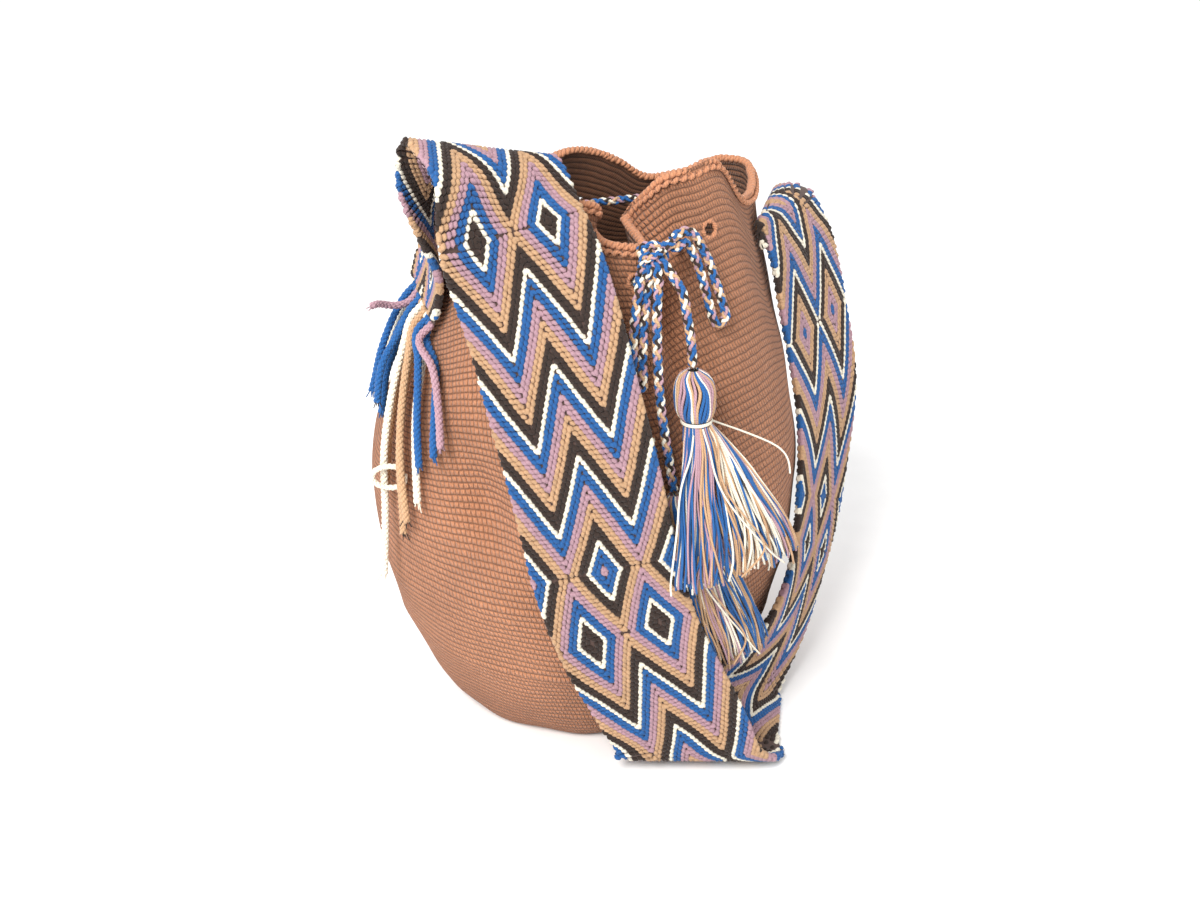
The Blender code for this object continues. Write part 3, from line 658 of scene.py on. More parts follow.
def make_body():
    cols, rows = 336, 156
    u = (np.arange(cols) / cols)
    v = np.linspace(0.0, 1.0, rows)
    outer = wall(u[None, :], v[:, None])
    # the wall stands slightly proud and sinks again, round by round, as hand crochet does
    du = np.roll(outer, -1, 1) - np.roll(outer, 1, 1)
    dv = np.gradient(outer, axis=0)
    out = np.cross(du, dv)
    out /= np.linalg.norm(out, axis=2)[:, :, None] + 1e-12
    uu, vv = np.broadcast_arrays(u[None, :], v[:, None])
    soft = (0.00075 * np.sin(2 * np.pi * (5 * uu + 2.2 * vv)) * np.sin(2 * np.pi * (3.1 * vv + 1.0 * np.sin(2 * np.pi * uu)))
            + 0.00045 * np.sin(2 * np.pi * (11 * uu - 4.0 * vv)))
    joins = np.zeros_like(uu)
    for centre_u, centre_v, half in ((0.90, 0.335, 0.10), (0.93, 0.20, 0.09), (0.965, 0.085, 0.07)):
        gap = (uu - centre_u + 0.5) % 1.0 - 0.5
        joins = joins + 0.0011 * np.exp(-((vv - centre_v - 0.05 * gap) / 0.0075) ** 2) * np.clip((half - np.abs(gap)) * 25, 0, 1)
    # a soft fold pressed in beside the strap
    def dent(a, b):
        gap = (a - 0.868 + 0.5) % 1.0 - 0.5
        return 0.0065 * np.exp(-((gap - 0.20 * (0.52 - b)) / 0.020) ** 2 - ((b - 0.52) / 0.085) ** 2)

    outer = outer + out * (soft + joins - dent(uu, vv))[:, :, None]
    inner_v = np.linspace(0.0, 1.0, 64)
    near = wall(u[None, ::2], inner_v[:, None])
    du = np.roll(near, -1, 1) - np.roll(near, 1, 1)
    dv = np.gradient(near, axis=0)
    out2 = np.cross(du, dv)
    out2 /= np.linalg.norm(out2, axis=2)[:, :, None] + 1e-12
    inner = near - out2 * (WALL + dent(*np.broadcast_arrays(u[None, ::2], inner_v[:, None])))[:, :, None]
    inner[:, :, 2] = np.maximum(inner[:, :, 2], WALL)

    holes = [eyelet(a, b)[0] for a, b in EYELETS]

    def grid(points, flip, u_span, v_of):
        nr, nc = points.shape[:2]
        r, c = np.meshgrid(np.arange(nr - 1), np.arange(nc), indexing="ij")
        r, c = r.ravel(), c.ravel()
        d = (c + 1) % nc
        face = np.stack([r * nc + c, r * nc + d, (r + 1) * nc + d, (r + 1) * nc + c], 1)
        uv = np.stack([c / nc * u_span, v_of[r], (c + 1) / nc * u_span, v_of[r], (c + 1) / nc * u_span, v_of[r + 1],
                       c / nc * u_span, v_of[r + 1]], 1)
        flat = points.reshape(-1, 3)
        middle = flat[face].mean(1)
        keep = np.ones(len(face), bool)
        for hole in holes:
            keep &= np.linalg.norm(middle - hole, axis=1) > 0.0042
        face, uv = face[keep], uv[keep]
        if flip:
            face = face[:, ::-1]
            uv = uv.reshape(-1, 4, 2)[:, ::-1].reshape(-1, 8)
        return flat, face, uv

    parts = [grid(outer, False, STITCHES, v * ROUNDS), grid(inner, True, STITCHES, inner_v * ROUNDS)]
    # underside: flat rounds to the centre, and the same inside
    radii = np.array([1.0, 0.9, 0.75, 0.6, 0.45, 0.3, 0.18, 0.08, 0.004])
    ring = outer[0]
    disc = np.stack([np.concatenate([ring[:, :2] * f, np.full((cols, 1), 0.0)], 1) for f in radii])
    disc[0] = ring
    parts.append(grid(disc, True, STITCHES, -(1 - radii) * 0.082 / 0.004))
    ring = inner[0]
    disc = np.stack([np.concatenate([ring[:, :2] * f, np.full((len(ring), 1), WALL)], 1) for f in radii])
    parts.append(grid(disc, False, STITCHES, -(1 - radii) * 0.082 / 0.004))
    # the lip between the two faces
    lip = np.stack([outer[-1][::2], inner[-1]])
    parts.append(grid(lip, False, STITCHES, np.array([ROUNDS, ROUNDS + 0.7])))
    base, points, faces, uvs, which = 0, [], [], [], []
    for number, (flat, face, uv) in enumerate(parts):
        points.append(flat)
        faces.append(face + base)
        uvs.append(uv)
        which.append(np.full(len(face), 1 if number in (1, 3) else 0))
        base += len(flat)
    # the second colour of each crochet material is the painted shade of its grooves
    shell = crochet_material("crochet_caramel", CARAMEL, scaled(CARAMEL, 0.30))
    # painted shade: the inner face of the wall and the inside of the base get the same caramel crochet darkened to
    # about half
    painted_shade_inside = crochet_material("crochet_inside_painted_shade", scaled(CARAMEL, 0.52), scaled(CARAMEL, 0.12))
    body = build("crochet_body", np.concatenate(points), np.concatenate(faces), [shell, painted_shade_inside],
                 np.concatenate(which), np.concatenate(uvs).reshape(-1, 2), layer="stitches")
    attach(body, "bag")
    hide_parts("bag_body")

    # crab-stitch edging of the rim and the rings round the eyelets
    edge = Bundle()
    cu = np.linspace(0, 1, 1200)
    top = wall(cu, np.full_like(cu, 0.997))
    below = wall(cu, np.full_like(cu, 0.975))
    up = top - below
    up /= np.linalg.norm(up, axis=1)[:, None]
    along = np.gradient(top, axis=0)
    along /= np.linalg.norm(along, axis=1)[:, None]
    side = np.cross(along, up)
    side /= np.linalg.norm(side, axis=1)[:, None]
    centre = top - side * (WALL * 0.5)
    s = np.r_[0.0, np.cumsum(np.linalg.norm(np.diff(centre, axis=0), axis=1))]
    for k in range(2):
        turn = 2 * np.pi * s / 0.0066 + k * np.pi + 0.5 * np.sin(s * 160)
        line = centre + side * (0.0013 * np.cos(turn))[:, None] + up * (0.0008 * np.sin(turn) - 0.0002)[:, None]
        edge.sweep(line, 0.00150 + 0.00022 * np.sin(2 * np.pi * s / 0.0039), 6, 0)
    # the lower strand of the edging stands out on the outside like a row of knots
    line = centre + side * (0.0026 + 0.0005 * np.sin(2 * np.pi * s / 0.0046))[:, None] - up * (0.0034 + 0.0006 * np.cos(2 * np.pi * s / 0.0046))[:, None]
    edge.sweep(line, 0.00115 + 0.0003 * np.sin(2 * np.pi * s / 0.0046), 6, 0)
    for a, b in EYELETS:
        here, out_dir = eyelet(a, b)
        first = np.cross(out_dir, (0, 0, 1.0))
        first /= np.linalg.norm(first)
        second = np.cross(out_dir, first)
        t = np.linspace(0, 2 * np.pi, 41)
        loop = here - out_dir * 0.0006 + np.outer(np.cos(t), first) * 0.0044 + np.outer(np.sin(t), second) * 0.0046
        edge.sweep(loop, 0.0013 + 0.0003 * np.sin(6 * t), 6, 0)
    rim = edge.make("rim_edging", [yarn_material("rim_yarn", scaled(CARAMEL, 0.98), True, 0.0005)])
    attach(rim, "bag")
    return body


# ------------------------------------------------------------------------ strap
PERIOD = 0.051
POINT = 0.045           # how far the zigzag points reach
# where the pattern turns back on itself, along the strap, and the value there
TURNS = [(0.0, 0.360), (0.180, 0.180), (0.3725, 0.3725), (0.416, 0.329), (0.530, 0.443), (0.690, 0.283),
         (0.722, 0.315), (0.835, 0.202), (0.960, 0.327)]
ROWS = [("white", 1), ("blue", 2), ("mauve", 2), ("tan", 2), ("dark", 2)]
ROW = PERIOD / sum(n for _, n in ROWS)
FIRST_WHITE = 0.197
COLOUR_ROWS = [name for name, n in ROWS for _ in range(n)]
ORDER = ["white", "blue", "mauve", "tan", "dark"]


def zigzag(a):
    """Height of the pattern's points across the strap, for a place a metres from its middle."""
    return POINT * (1.0 - np.abs(np.abs(a) / 0.02 - 1.0))


class Ribbon:
    """Places on the strap's two faces, by distance along it and across it."""

    def __init__(self):
        centre, travel, width, normal, reach = strap_frames(120)
        s = np.r_[0.0, np.cumsum(np.linalg.norm(np.diff(centre, axis=0), axis=1))]
        self.total = s[-1]
        fine = np.linspace(0, s[-1], 900)

        def at(rows):
            # smooth curve through the stations
            k = np.clip(np.searchsorted(s, fine, side="right") - 1, 0, len(s) - 2)
            h = (s[k + 1] - s[k])[:, None]
            x = ((fine - s[k]) / (s[k + 1] - s[k]))[:, None]
            m = np.gradient(rows, s, axis=0)
            return ((2 * x**3 - 3 * x * x + 1) * rows[k] + (x**3 - 2 * x * x + x) * h * m[k]
                    + (3 * x * x - 2 * x**3) * rows[k + 1] + (x**3 - x * x) * h * m[k + 1])
        self.s = fine
        self.c = at(centre)
        self.t, self.w = at(travel), at(width)
        self.t /= np.linalg.norm(self.t, axis=1)[:, None]
        self.w /= np.linalg.norm(self.w, axis=1)[:, None]
        self.n = np.cross(self.t, self.w)
        self.n /= np.linalg.norm(self.n, axis=1)[:, None]
        self.lean = np.clip((self.t * self.w).sum(1), -0.66, 0.66)
        self.reach = STRAP_WIDTH / 2 / np.sqrt(1 - self.lean**2)

    def pick(self, rows, i):
        low = np.clip(np.floor(i).astype(int), 0, len(self.s) - 2)
        f = np.clip(i - low, 0, 1)
        if rows.ndim == 1:
            return rows[low] * (1 - f) + rows[low + 1] * f
        return rows[low] * (1 - f)[:, None] + rows[low + 1] * f[:, None]

    def place(self, along, across):
        """Point, direction along, direction across and normal."""
        step = self.s[1]
        i = along / step
        for _ in range(12):
            lean = self.pick(self.lean, i)
            x = across / np.sqrt(1 - lean**2)
            i = 0.5 * i + 0.5 * (along - x * lean) / step
            i = np.clip(i, 0, len(self.s) - 1.001)
        lean = self.pick(self.lean, i)
        x = across / np.sqrt(1 - lean**2)
        c, t, w, n = (self.pick(r, i) for r in (self.c, self.t, self.w, self.n))
        side = w - t * (w * t).sum(1)[:, None]
        side /= np.linalg.norm(side, axis=1)[:, None]
        n = n / np.linalg.norm(n, axis=1)[:, None]
        inside = (i > 0.5) & (i < len(self.s) - 2)
        return c + w * x[:, None], t, side, n, inside


def beads_table(rng):
    """Every stitch of one face: along, across, which yarn, and the slope of its row."""
    columns = (np.arange(60) + 0.5) * (0.08 / 60) - 0.04
    found = []
    for (s0, p0), (s1, p1) in zip(TURNS[:-1], TURNS[1:]):
        sign = 1.0 if p1 > p0 else -1.0
        for a in columns:
            z = float(zigzag(a))
            slope = -math.copysign(1.0, a) * math.copysign(1.0, abs(a) - 0.02)
            low, high = (min(p0, p1) - z - FIRST_WHITE), (max(p0, p1) - z - FIRST_WHITE)
            k = np.arange(math.ceil(low / ROW - 0.5), math.floor(high / ROW - 0.5) + 1)
            phase = (k + 0.5) * ROW
            along = s0 + sign * (phase + z + FIRST_WHITE - p0)
            for kk, place in zip(k, along):
                found.append((place, a, ORDER.index(COLOUR_ROWS[kk % len(COLOUR_ROWS)]), slope * sign))
    rows = np.array(found)
    rows[:, 0] += rng.normal(0, 0.00012, len(rows))
    rows[:, 1] += rng.normal(0, 0.00008, len(rows))
    return rows


def grains(name, ribbon, rows, face, length, width, base, top, twist, mats, rng):
    """Rows of twisted stitches standing on one face of the strap."""
    rows = rows[(rows[:, 0] > 0.0012) & (rows[:, 0] < ribbon.total - 0.0012)]
    spot, along, side, normal, inside = ribbon.place(rows[:, 0], rows[:, 1])
    keep = inside
    rows, spot, along, side, normal = rows[keep], spot[keep], along[keep], side[keep], normal[keep]
    normal = normal * face
    arm = math.atan2(0.02, POINT)
    lean = rows[:, 3] * arm + twist + rng.normal(0, 0.05, len(rows))
    # an arm that drops outward on one side of a point rises on the other
    e1 = along * np.cos(lean)[:, None] + side * np.sin(lean)[:, None]
    e2 = -along * np.sin(lean)[:, None] + side * np.cos(lean)[:, None]
    size = rng.normal(1.0, 0.05, len(rows))[:, None, None]
    hexagon = [(1, 0), (0.5, 1), (-0.5, 1), (-1, 0), (-0.5, -1), (0.5, -1)]
    shape = np.array([(length * a, width * b, base) for a, b in hexagon]
                     + [(length * 0.86 * a, width * 0.84 * b, base * 0.35 + top * 0.65) for a, b in hexagon]
                     + [(length * 0.42, 0, top), (-length * 0.42, 0, top)])
    pts = (spot[:, None, :] + e1[:, None, :] * shape[None, :, :1] * size + e2[:, None, :] * shape[None, :, 1:2] * size
           + normal[:, None, :] * shape[None, :, 2:3])
    pts[:, :, 2] = np.maximum(pts[:, :, 2], 0.0003)
    tri = [(0, 1, 12), (1, 2, 13), (1, 13, 12), (2, 3, 13), (3, 4, 13), (4, 5, 12), (4, 12, 13), (5, 0, 12)]
    tri = [tuple(v + 6 if v < 6 else v for v in t) for t in tri]
    for k in range(6):
        m = (k + 1) % 6
        tri += [(k, m, m + 6), (k, m + 6, k + 6)]
    tri = np.array(tri)
    if face < 0:
        tri = tri[:, ::-1]
    faces = (tri[None, :, :] + (np.arange(len(rows)) * 14)[:, None, None]).reshape(-1, 3)
    which = np.repeat(rows[:, 2].astype(int), 20)
    piece = build(name, pts.reshape(-1, 3), faces, mats, which)
    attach(piece, "bag")
    return piece


def phase_colour(along, across):
    """Yarn of the pattern at a place on the strap."""
    s, p = np.array(TURNS).T
    value = np.interp(along, s, p) - zigzag(across) - FIRST_WHITE
    return np.array([ORDER.index(COLOUR_ROWS[k]) for k in np.floor(value / ROW).astype(int) % len(COLOUR_ROWS)])


def make_strap():
    rng = np.random.default_rng(11)
    ribbon = Ribbon()
    mats = [yarn_material("strap_" + n, YARNS[n], False, 0.00045) for n in ORDER]
    # woven core; its dark brown is painted shade that shows in the gaps between the stitches
    pick = np.linspace(0, len(ribbon.s) - 1, 300).astype(int)
    xs = np.linspace(-1, 1, 25)
    c, w, n, reach = ribbon.c[pick], ribbon.w[pick], ribbon.n[pick], ribbon.reach[pick]
    sheets = []
    for face in (1, -1):
        thick = 0.0011 * np.sqrt(np.clip(1 - xs**8, 0, 1)) * face
        sheets.append(c[:, None] + w[:, None] * (xs[None, :, None] * reach[:, None, None] * 0.985) + n[:, None] * thick[None, :, None])
    loop = np.concatenate([sheets[0], sheets[1][:, ::-1]], 1)
    nr, nc = loop.shape[:2]
    loop[:, :, 2] = np.maximum(loop[:, :, 2], 0.0003)
    r, k = np.meshgrid(np.arange(nr - 1), np.arange(nc), indexing="ij")
    r, k = r.ravel(), k.ravel()
    d = (k + 1) % nc
    faces = np.stack([r * nc + k, r * nc + d, (r + 1) * nc + d, (r + 1) * nc + k], 1)
    ends = []
    for row in (0, nr - 1):
        for j in range(24):
            quad = [row * nc + j, row * nc + j + 1, row * nc + nc - 2 - j, row * nc + nc - 1 - j]
            ends.append(quad if row == 0 else quad[::-1])
    faces = np.concatenate([faces, np.array(ends)])
    core = build("strap_core", loop.reshape(-1, 3), faces[:, ::-1], [yarn_material("strap_core_painted_gap_shade", linear(84, 66, 60), False)])
    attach(core, "bag")
    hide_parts("shoulder_strap")
    rows = beads_table(rng)
    half = rows[:, 0] < 0.5 * ribbon.total
    front = [grains("strap_stitches_outer_front", ribbon, rows[half], 1.0, 0.00240, 0.00136, 0.0003, 0.0031, 0.40, mats, rng),
             grains("strap_stitches_outer_rear", ribbon, rows[~half], 1.0, 0.00240, 0.00136, 0.0003, 0.0031, 0.40, mats, rng)]
    back = [grains("strap_stitches_inner_front", ribbon, rows[half], -1.0, 0.00250, 0.00130, 0.0005, 0.0020, -0.34, mats, rng),
            grains("strap_stitches_inner_rear", ribbon, rows[~half], -1.0, 0.00250, 0.00130, 0.0005, 0.0020, -0.34, mats, rng)]
    # rounded selvedges
    edge = Bundle()
    steps = np.arange(0.003, ribbon.total - 0.004, 0.0022)
    for side_sign in (-1.0, 1.0):
        spot, along, side, normal, inside = ribbon.place(steps, np.full(len(steps), side_sign * 0.0392))
        colour = phase_colour(steps, np.full(len(steps), side_sign * 0.0395))
        for p, a, o, n, yarn, ok in zip(spot, along, side, normal, colour, inside):
            if not ok:
                continue
            t = np.linspace(-1, 1, 5)
            lean = 0.5 * n * side_sign
            line = p + np.outer(t, a + lean) * 0.00155
            line[:, 2] = np.maximum(line[:, 2], 0.0016)
            edge.sweep(line, 0.00155 * np.sqrt(np.clip(1.08 - t**2, 0.05, 1)), 6, int(yarn))
    selvedge = edge.make("strap_selvedges", [yarn_material("selvedge_" + n, YARNS[n], False, 0.0003) for n in ORDER])
    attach(selvedge, "bag")
    # cut ends of the twisted cords that the strap is made of
    names = ["mauve", "blue", "blue", "white", "tan", "tan", "white", "tan", "blue", "blue", "mauve", "blue", "blue", "white"]
    tail_mats = [yarn_material("fringe_" + n, YARNS[n], True, 0.00030) for n in ORDER]
    for number, (place, layer, way) in enumerate(FRINGE, 1):
        path = even(spline(fringe_path(place, layer, way), np.linspace(0, 1, 300)), 0.0009)
        if number == 11:
            path = path[:int(len(path) * 0.74)]
        f = np.linspace(0, 1, len(path))
        path = path + np.outer(np.sin(9.0 * f + number * 1.9) * f * 0.0018, (0.34, 0.94, 0.0)) \
            + np.outer(np.sin(6.0 * f + number) * f * 0.0010, (-1.0, 0.0, 0.0))
        bundle = Bundle()
        yarn = ORDER.index(names[number - 1])
        rope(bundle, path, FRINGE_DIA * 1.20, [yarn] * 3, 0.0098, sides=6)
        if number == 7:
            # a slack turn of the same yarn, hanging out of the bundle
            at = path[int(len(path) * 0.62)]
            t = np.linspace(-0.3, np.pi * 1.75, 90)
            turn = at + np.outer(0.0105 * np.cos(t) + 0.006, (0.94, -0.342, 0.0)) + np.outer(-0.0085 * np.sin(t) * 0.8, (0, 0, 1.0)) + (-0.0035, -0.0045, 0)
            turn = np.array([clear(q, 0.0028) for q in turn])
            rope(bundle, even(turn, 0.0009), FRINGE_DIA * 0.9, [yarn] * 3, 0.0090, sides=6)
        # frayed cut end
        tip, way_out = path[-1], (path[-1] - path[-4]) / np.linalg.norm(path[-1] - path[-4])
        for _ in range(7):
            spread = rng.normal(0, 0.0011, 3)
            line = tip - way_out * 0.002 + np.outer(np.linspace(0, 1, 4), way_out * 0.0045 + spread) + spread * 0.35
            bundle.sweep(line, 0.00035, 4, ORDER.index("dark") if number in (5, 6, 9) else yarn)
        piece = bundle.make(f"fringe_{number:02d}", tail_mats)
        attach(piece, "bag")
        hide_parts(f"fringe_cord_{number:02d}")
    return ribbon


# ------------------------------------------------------------------- drawstring
BRAID_YARNS = ["white", "blue", "mauve", "tan", "dark"]


def parallel_loop(points, gap_near, gap_far, step=0.001):
    """A cord out along the points and back beside itself, with a round end."""
    mid = smooth_path(points, step)
    travel = np.gradient(mid, axis=0)
    travel /= np.linalg.norm(travel, axis=1)[:, None]
    side = np.cross(travel, (0.2, -0.97, 0.15))
    side /= np.linalg.norm(side, axis=1)[:, None]
    n = len(mid)
    reach = int(gap_far / step)
    gap = gap_near + (gap_far - gap_near) * np.linspace(0, 1, n) ** 1.5
    cut = n - reach
    first = mid[:cut] + side[:cut] * gap[:cut, None]
    back = (mid[:cut] - side[:cut] * gap[:cut, None])[::-1]
    t = np.linspace(0, np.pi, max(6, int(np.pi * gap_far / step)))[1:-1]
    centre = mid[cut - 1]
    arc = centre + np.outer(np.cos(t), side[cut - 1]) * gap[cut - 1] + np.outer(np.sin(t), travel[cut - 1]) * gap[cut - 1]
    return even(np.concatenate([first, arc, back]), step)


def make_drawstring():
    mats = [yarn_material("cord_" + n, YARNS[n], True, 0.0002) for n in BRAID_YARNS]

    def cord_piece(name, path, body, nodes):
        bundle = Bundle()
        braid(bundle, path, CORD_DIA)
        piece = bundle.make(name, mats)
        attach(piece, body)
        if nodes:
            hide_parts(*nodes)
        return piece

    # the knot: the cord passed twice round itself
    t = np.linspace(0, 2 * np.pi, 150)
    a = (0.0047 + 0.0019 * np.cos(3 * t))
    knot_path = np.stack([KNOT[0] + a * np.cos(2 * t) * 1.15, KNOT[1] - 0.0002 + 0.0026 * np.sin(3 * t), KNOT[2] + a * np.sin(2 * t) * 1.0], 1)
    bundle = Bundle()
    braid(bundle, even(knot_path, 0.0009), 0.0044, pitch=0.013)
    for start in (LOOP_RIGHT[0], LOOP_LEFT[0], TAIL_FRONT[0], TAIL_REAR[0]):
        gap = np.array(start) - np.array(KNOT)
        link = smooth_path([np.array(KNOT) - gap * 0.1, np.array(KNOT) + gap * 0.5 + (0, -0.0016, 0.0012), np.array(start)], 0.0009)
        braid(bundle, link, CORD_DIA * 1.02)
    # one turn of the cord round the waist of the bow
    t = np.linspace(0, 2 * np.pi * 1.6, 90)
    wrap = np.stack([KNOT[0] + 0.0062 * np.cos(t) * 0.9, KNOT[1] - 0.0010 + 0.0052 * np.sin(t), KNOT[2] - 0.001 + 0.0028 * np.cos(t + 0.7) + 0.0012 * t / 6], 1)
    braid(bundle, even(wrap, 0.0009), 0.0044, pitch=0.011)
    knot = bundle.make("bow_knot", mats)
    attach(knot, "bag")
    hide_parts("drawstring_knot")

    right = parallel_loop(LOOP_RIGHT, 0.0029, 0.0046)
    cord_piece("bow_loop_right", right, "bag", ["drawstring_loop_right"])
    left = parallel_loop(LOOP_LEFT, 0.0029, 0.0034)
    cord_piece("bow_loop_left", left, "bag", ["drawstring_loop_left"])
    first, second = eyelet(*EYELETS[0]), eyelet(*EYELETS[1])
    route = ([first[0] + first[1] * 0.0035, first[0] - first[1] * 0.004, first[0] - first[1] * 0.012] + RUN
             + [second[0] - second[1] * 0.012, second[0] - second[1] * 0.004, second[0] + second[1] * 0.004])
    run = even(spline(route, np.linspace(0, 1, 700)), 0.0013)
    cord_piece("drawstring_inside", run, "bag", ["drawstring_run"])
    # short stretch from each front eyelet to the knot
    for number, (start, out_dir) in enumerate((first, second)):
        goal = np.array(KNOT) + np.array([-0.004 if number == 0 else 0.006, 0.0005, 0.004])
        link = smooth_path([start + out_dir * 0.002, (start + goal) / 2 + out_dir * 0.004, goal], 0.001)
        bundle = Bundle()
        braid(bundle, link, CORD_DIA * 0.96)
        piece = bundle.make(f"drawstring_lead_{number + 1}", mats)
        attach(piece, "bag")

    front_pieces = make_tassel("front", TASSEL_FRONT, 5, front_lift, "front_tassel", "tassel_front", "tassel_front_binding", 21)
    front = smooth_path(TAIL_FRONT, 0.001)
    cord_piece("drawstring_end_front", front, "front_tassel", ["drawstring_tail_front"])
    rear_pieces = make_tassel("rear", TASSEL_REAR, 4, lambda z: 0.0014, "bag", "tassel_rear", "tassel_rear_binding", 33)
    rear = smooth_path(TAIL_REAR, 0.001)
    cord_piece("drawstring_end_rear", rear, "bag", ["drawstring_tail_rear"])


# ----------------------------------------------------------------------- tassels
def along_wall(place):
    out = height_above(place)[1] * np.array([1.0, 1.0, 0.0])
    out /= np.linalg.norm(out)
    return np.array([-out[1], out[0], 0.0]), out


def front_lift(z):
    """Extra distance from the wall that the front tassel keeps where the rear cord and tassel lie under it."""
    return float(np.interp(z, [0.175, 0.195, 0.215, 0.245], [0.0165, 0.0140, 0.0085, 0.0020]))


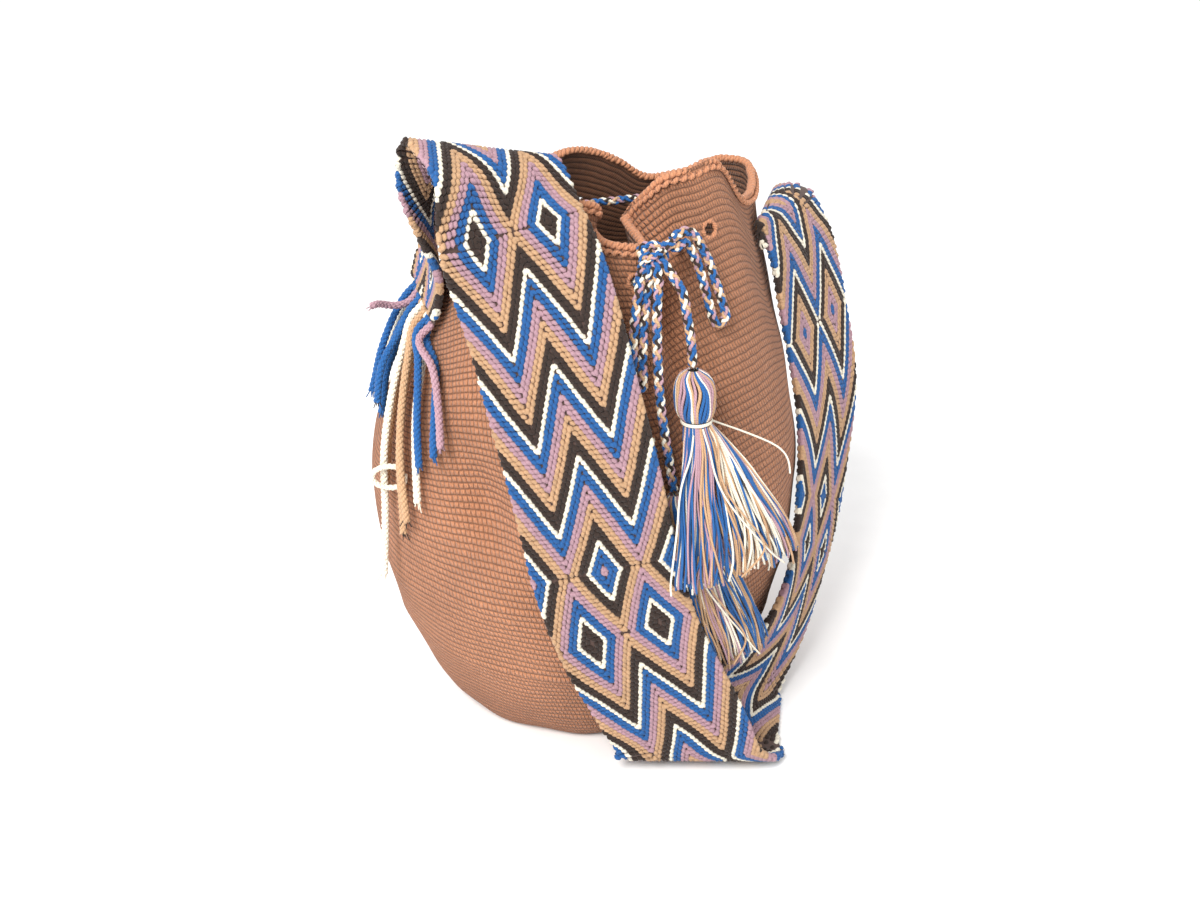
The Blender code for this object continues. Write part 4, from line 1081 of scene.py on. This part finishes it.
def make_tassel(label, rows, neck, lift, body, node, binding_node, seed):
    rng = np.random.default_rng(seed)
    table = np.asarray(rows, float)
    fine = spline(rows, np.linspace(0, 1, 40))
    places, sides, outs = [], [], []
    for row in fine:
        p = clear(row[:3], row[4] + 0.0016 + lift(row[2]))
        s, o = along_wall(p)
        places.append(p)
        sides.append(s)
        outs.append(o)
    places, sides, outs = (soften(np.array(x), 2) for x in (places, sides, outs))
    neck_z = table[neck, 2]
    cut = int(np.argmin(np.abs(fine[:, 2] - neck_z)))
    yarn_names = ["white", "blue", "mauve", "tan", "dark"]
    mats = [yarn_material(f"tassel_{label}_" + n, YARNS[n], True, 0.00022) for n in yarn_names]

    def point(k, theta, rho):
        """Place at station k (may be fractional), at an angle round the tassel and a share of its radius."""
        low = np.clip(np.floor(k).astype(int), 0, len(fine) - 2)
        f = (k - low)[:, None]
        p = places[low] * (1 - f) + places[low + 1] * f
        s = sides[low] * (1 - f) + sides[low + 1] * f
        o = outs[low] * (1 - f) + outs[low + 1] * f
        w = fine[low, 3] * (1 - f[:, 0]) + fine[low + 1, 3] * f[:, 0]
        d = fine[low, 4] * (1 - f[:, 0]) + fine[low + 1, 4] * f[:, 0]
        return p + s * (w * rho * np.cos(theta))[:, None] + o * (d * rho * np.sin(theta))[:, None]

    # the head: yarn doubled over the cord, lying as meridians
    head = Bundle()
    stripe = [1, 1, 1, 3, 3, 2, 0, 1, 1, 3, 3, 2, 2, 0, 1, 1, 1, 3, 2, 3, 0, 1, 1, 2, 2, 3, 3, 0, 1, 1, 3, 2, 2, 0, 1, 1, 3, 3, 2, 0, 1, 2, 3, 0]
    count = len(stripe)
    for k, yarn in enumerate(stripe):
        theta = 2 * np.pi * k / count
        t = np.linspace(0.1, cut, 20)
        rho = 0.93 + 0.0 * t
        head.sweep(point(t, np.full(20, theta) + 0.10 * np.sin(t * 0.5 + k), rho), 0.00098 * np.interp(t, [0, 3, 10, cut], [0.6, 0.95, 1.0, 0.8]), 6, yarn)
    for k in range(6):
        theta = 2 * np.pi * k / 6
        t = np.linspace(0.8, cut, 12)
        head.sweep(point(t, np.full(12, theta), np.full(12, 0.45)), 0.0036 * np.interp(t, [0, 4, cut], [0.3, 1.0, 0.6]) * (fine[5, 3] / 0.0118), 6, 4)
    head_piece = head.make(f"tassel_{label}_head", mats)
    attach(head_piece, body)

    # the skirt: cut threads hanging in loose clumps
    skirt = Bundle()
    threads = 236 if label == "front" else 200
    yarn = 0
    left = 0
    for k in range(threads):
        if left <= 0:
            yarn = int(rng.choice(5, p=[0.20, 0.30, 0.22, 0.24, 0.04]))
            left = int(rng.integers(1, 5))
            clump = rng.normal(0, 0.10)
        left -= 1
        theta = 2 * np.pi * (k / threads) * 1.0 + rng.normal(0, 0.03)
        layer = rng.random()
        stop = len(fine) - 1 - abs(rng.normal(0, 1.1))
        t = np.linspace(cut, stop, 17)
        f = (t - cut) / (len(fine) - 1 - cut)
        turn = theta + (clump + rng.normal(0, 0.26)) * f + 0.09 * np.sin(6 * f + 1.3 * k) * f
        rho = np.interp(f, [0, 0.15, 0.6, 1], [0.82, 0.98, 1.10, 1.16]) * (1.0 - 0.34 * layer * np.clip(f * 2 + 0.25, 0, 1)) + 0.03 * np.sin(5 * f + 1.7 * k) * f
        line = point(t, turn, rho)
        sway = rng.normal(0, 0.0017, 3)
        line = line + np.outer(f ** 2, sway) + np.outer(np.sin(9 * f + k) * f, rng.normal(0, 0.0006, 3))
        skirt.sweep(line, 0.00066, 5, yarn)
    # stray threads that have worked loose
    last = len(fine) - 1
    strays = [((cut, cut + 4, cut + 9, cut + 13), (0.10, 0.15, 0.2, 0.3), (0.9, 1.75, 2.35, 1.9), 0),
              ((cut + 1, cut + 9, last - 4, last), (2.2, 1.9, 1.2, 0.9), (1.0, 1.25, 1.2, 1.15), 0),
              ((cut + 2, cut + 8, last - 5, last + 0.0), (2.9, 3.0, 3.2, 3.1), (0.9, 1.15, 1.25, 1.3), 0),
              ((cut + 1, cut + 7, last - 6, last - 1), (1.4, 1.9, 1.2, 1.7), (1.0, 1.3, 1.35, 1.3), 3)]
    for stations, angles, reaches, yarn in strays:
        t = np.linspace(0, 1, 40)
        knots = np.linspace(0, 1, 4)
        row = np.stack([np.interp(t, knots, q) for q in (stations, angles, reaches)], 1)
        for _ in range(20):
            row[1:-1] = (row[:-2] + 2 * row[1:-1] + row[2:]) / 4
        line = point(np.clip(row[:, 0], 0, last), row[:, 1], row[:, 2]) + (0, -0.0015, 0)
        skirt.sweep(line, 0.00058, 5, yarn)
    skirt_piece = skirt.make(f"tassel_{label}_skirt", mats)
    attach(skirt_piece, body)
    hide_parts(node)

    # thread wound round the neck
    x, y, z, w, d = rows[neck]
    here = clear((x, y, z), d + 0.0016 + lift(z))
    side, out = along_wall(here)
    ring = Bundle()
    t = np.linspace(0, 2 * np.pi * 2.9, 100)
    line = here + np.outer(np.cos(t), side) * (w + 0.0011) + np.outer(np.sin(t), out) * (d + 0.0011) + np.outer(t / t[-1] - 0.5, (0, 0, 1.0)) * 0.0016
    ring.sweep(line, 0.00042, 6, 0)
    binding = ring.make(f"tassel_{label}_binding_thread", [mats[0]])
    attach(binding, body)
    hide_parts(binding_node)
    return [head_piece, skirt_piece, binding]


# -------------------------------------------------------------------------- scene
def make_stage():
    mesh = bpy.data.meshes.new("floor")
    n = 8.0
    mesh.from_pydata([(-n, -n, 0), (n, -n, 0), (n, n, 0), (-n, n, 0)], [], [(0, 1, 2, 3)])
    floor = bpy.data.objects.new("floor", mesh)
    bpy.context.scene.collection.objects.link(floor)
    mat, tree, shader = tree_of("paper_white")
    shader.inputs["Roughness"].default_value = 0.9
    shader.inputs["Specular IOR Level"].default_value = 0.0
    grain = noise(tree, 40.0, 2.0)
    tree.links.new(ramp(tree, grain, [(0.3, (0.93, 0.93, 0.93)), (0.7, (0.95, 0.95, 0.95))]), shader.inputs["Base Color"])
    mesh.materials.append(mat)
    world = bpy.data.worlds.new("studio")
    world.use_nodes = True
    world.node_tree.nodes["Background"].inputs[0].default_value = (1, 1, 1, 1)
    world.node_tree.nodes["Background"].inputs[1].default_value = 1.0
    bpy.context.scene.world = world
    scene = bpy.context.scene
    scene.view_settings.view_transform = "Standard"
    area_light("key", (-1.5, -1.6, 2.1), (0, 0, 0.15), 1.2, 96.0, (1.0, 0.985, 0.965))
    area_light("fill", (1.8, -1.6, 1.2), (0, 0, 0.15), 1.6, 2.0)


place_camera()
make_stage()
make_body()
make_strap()
make_drawstring()
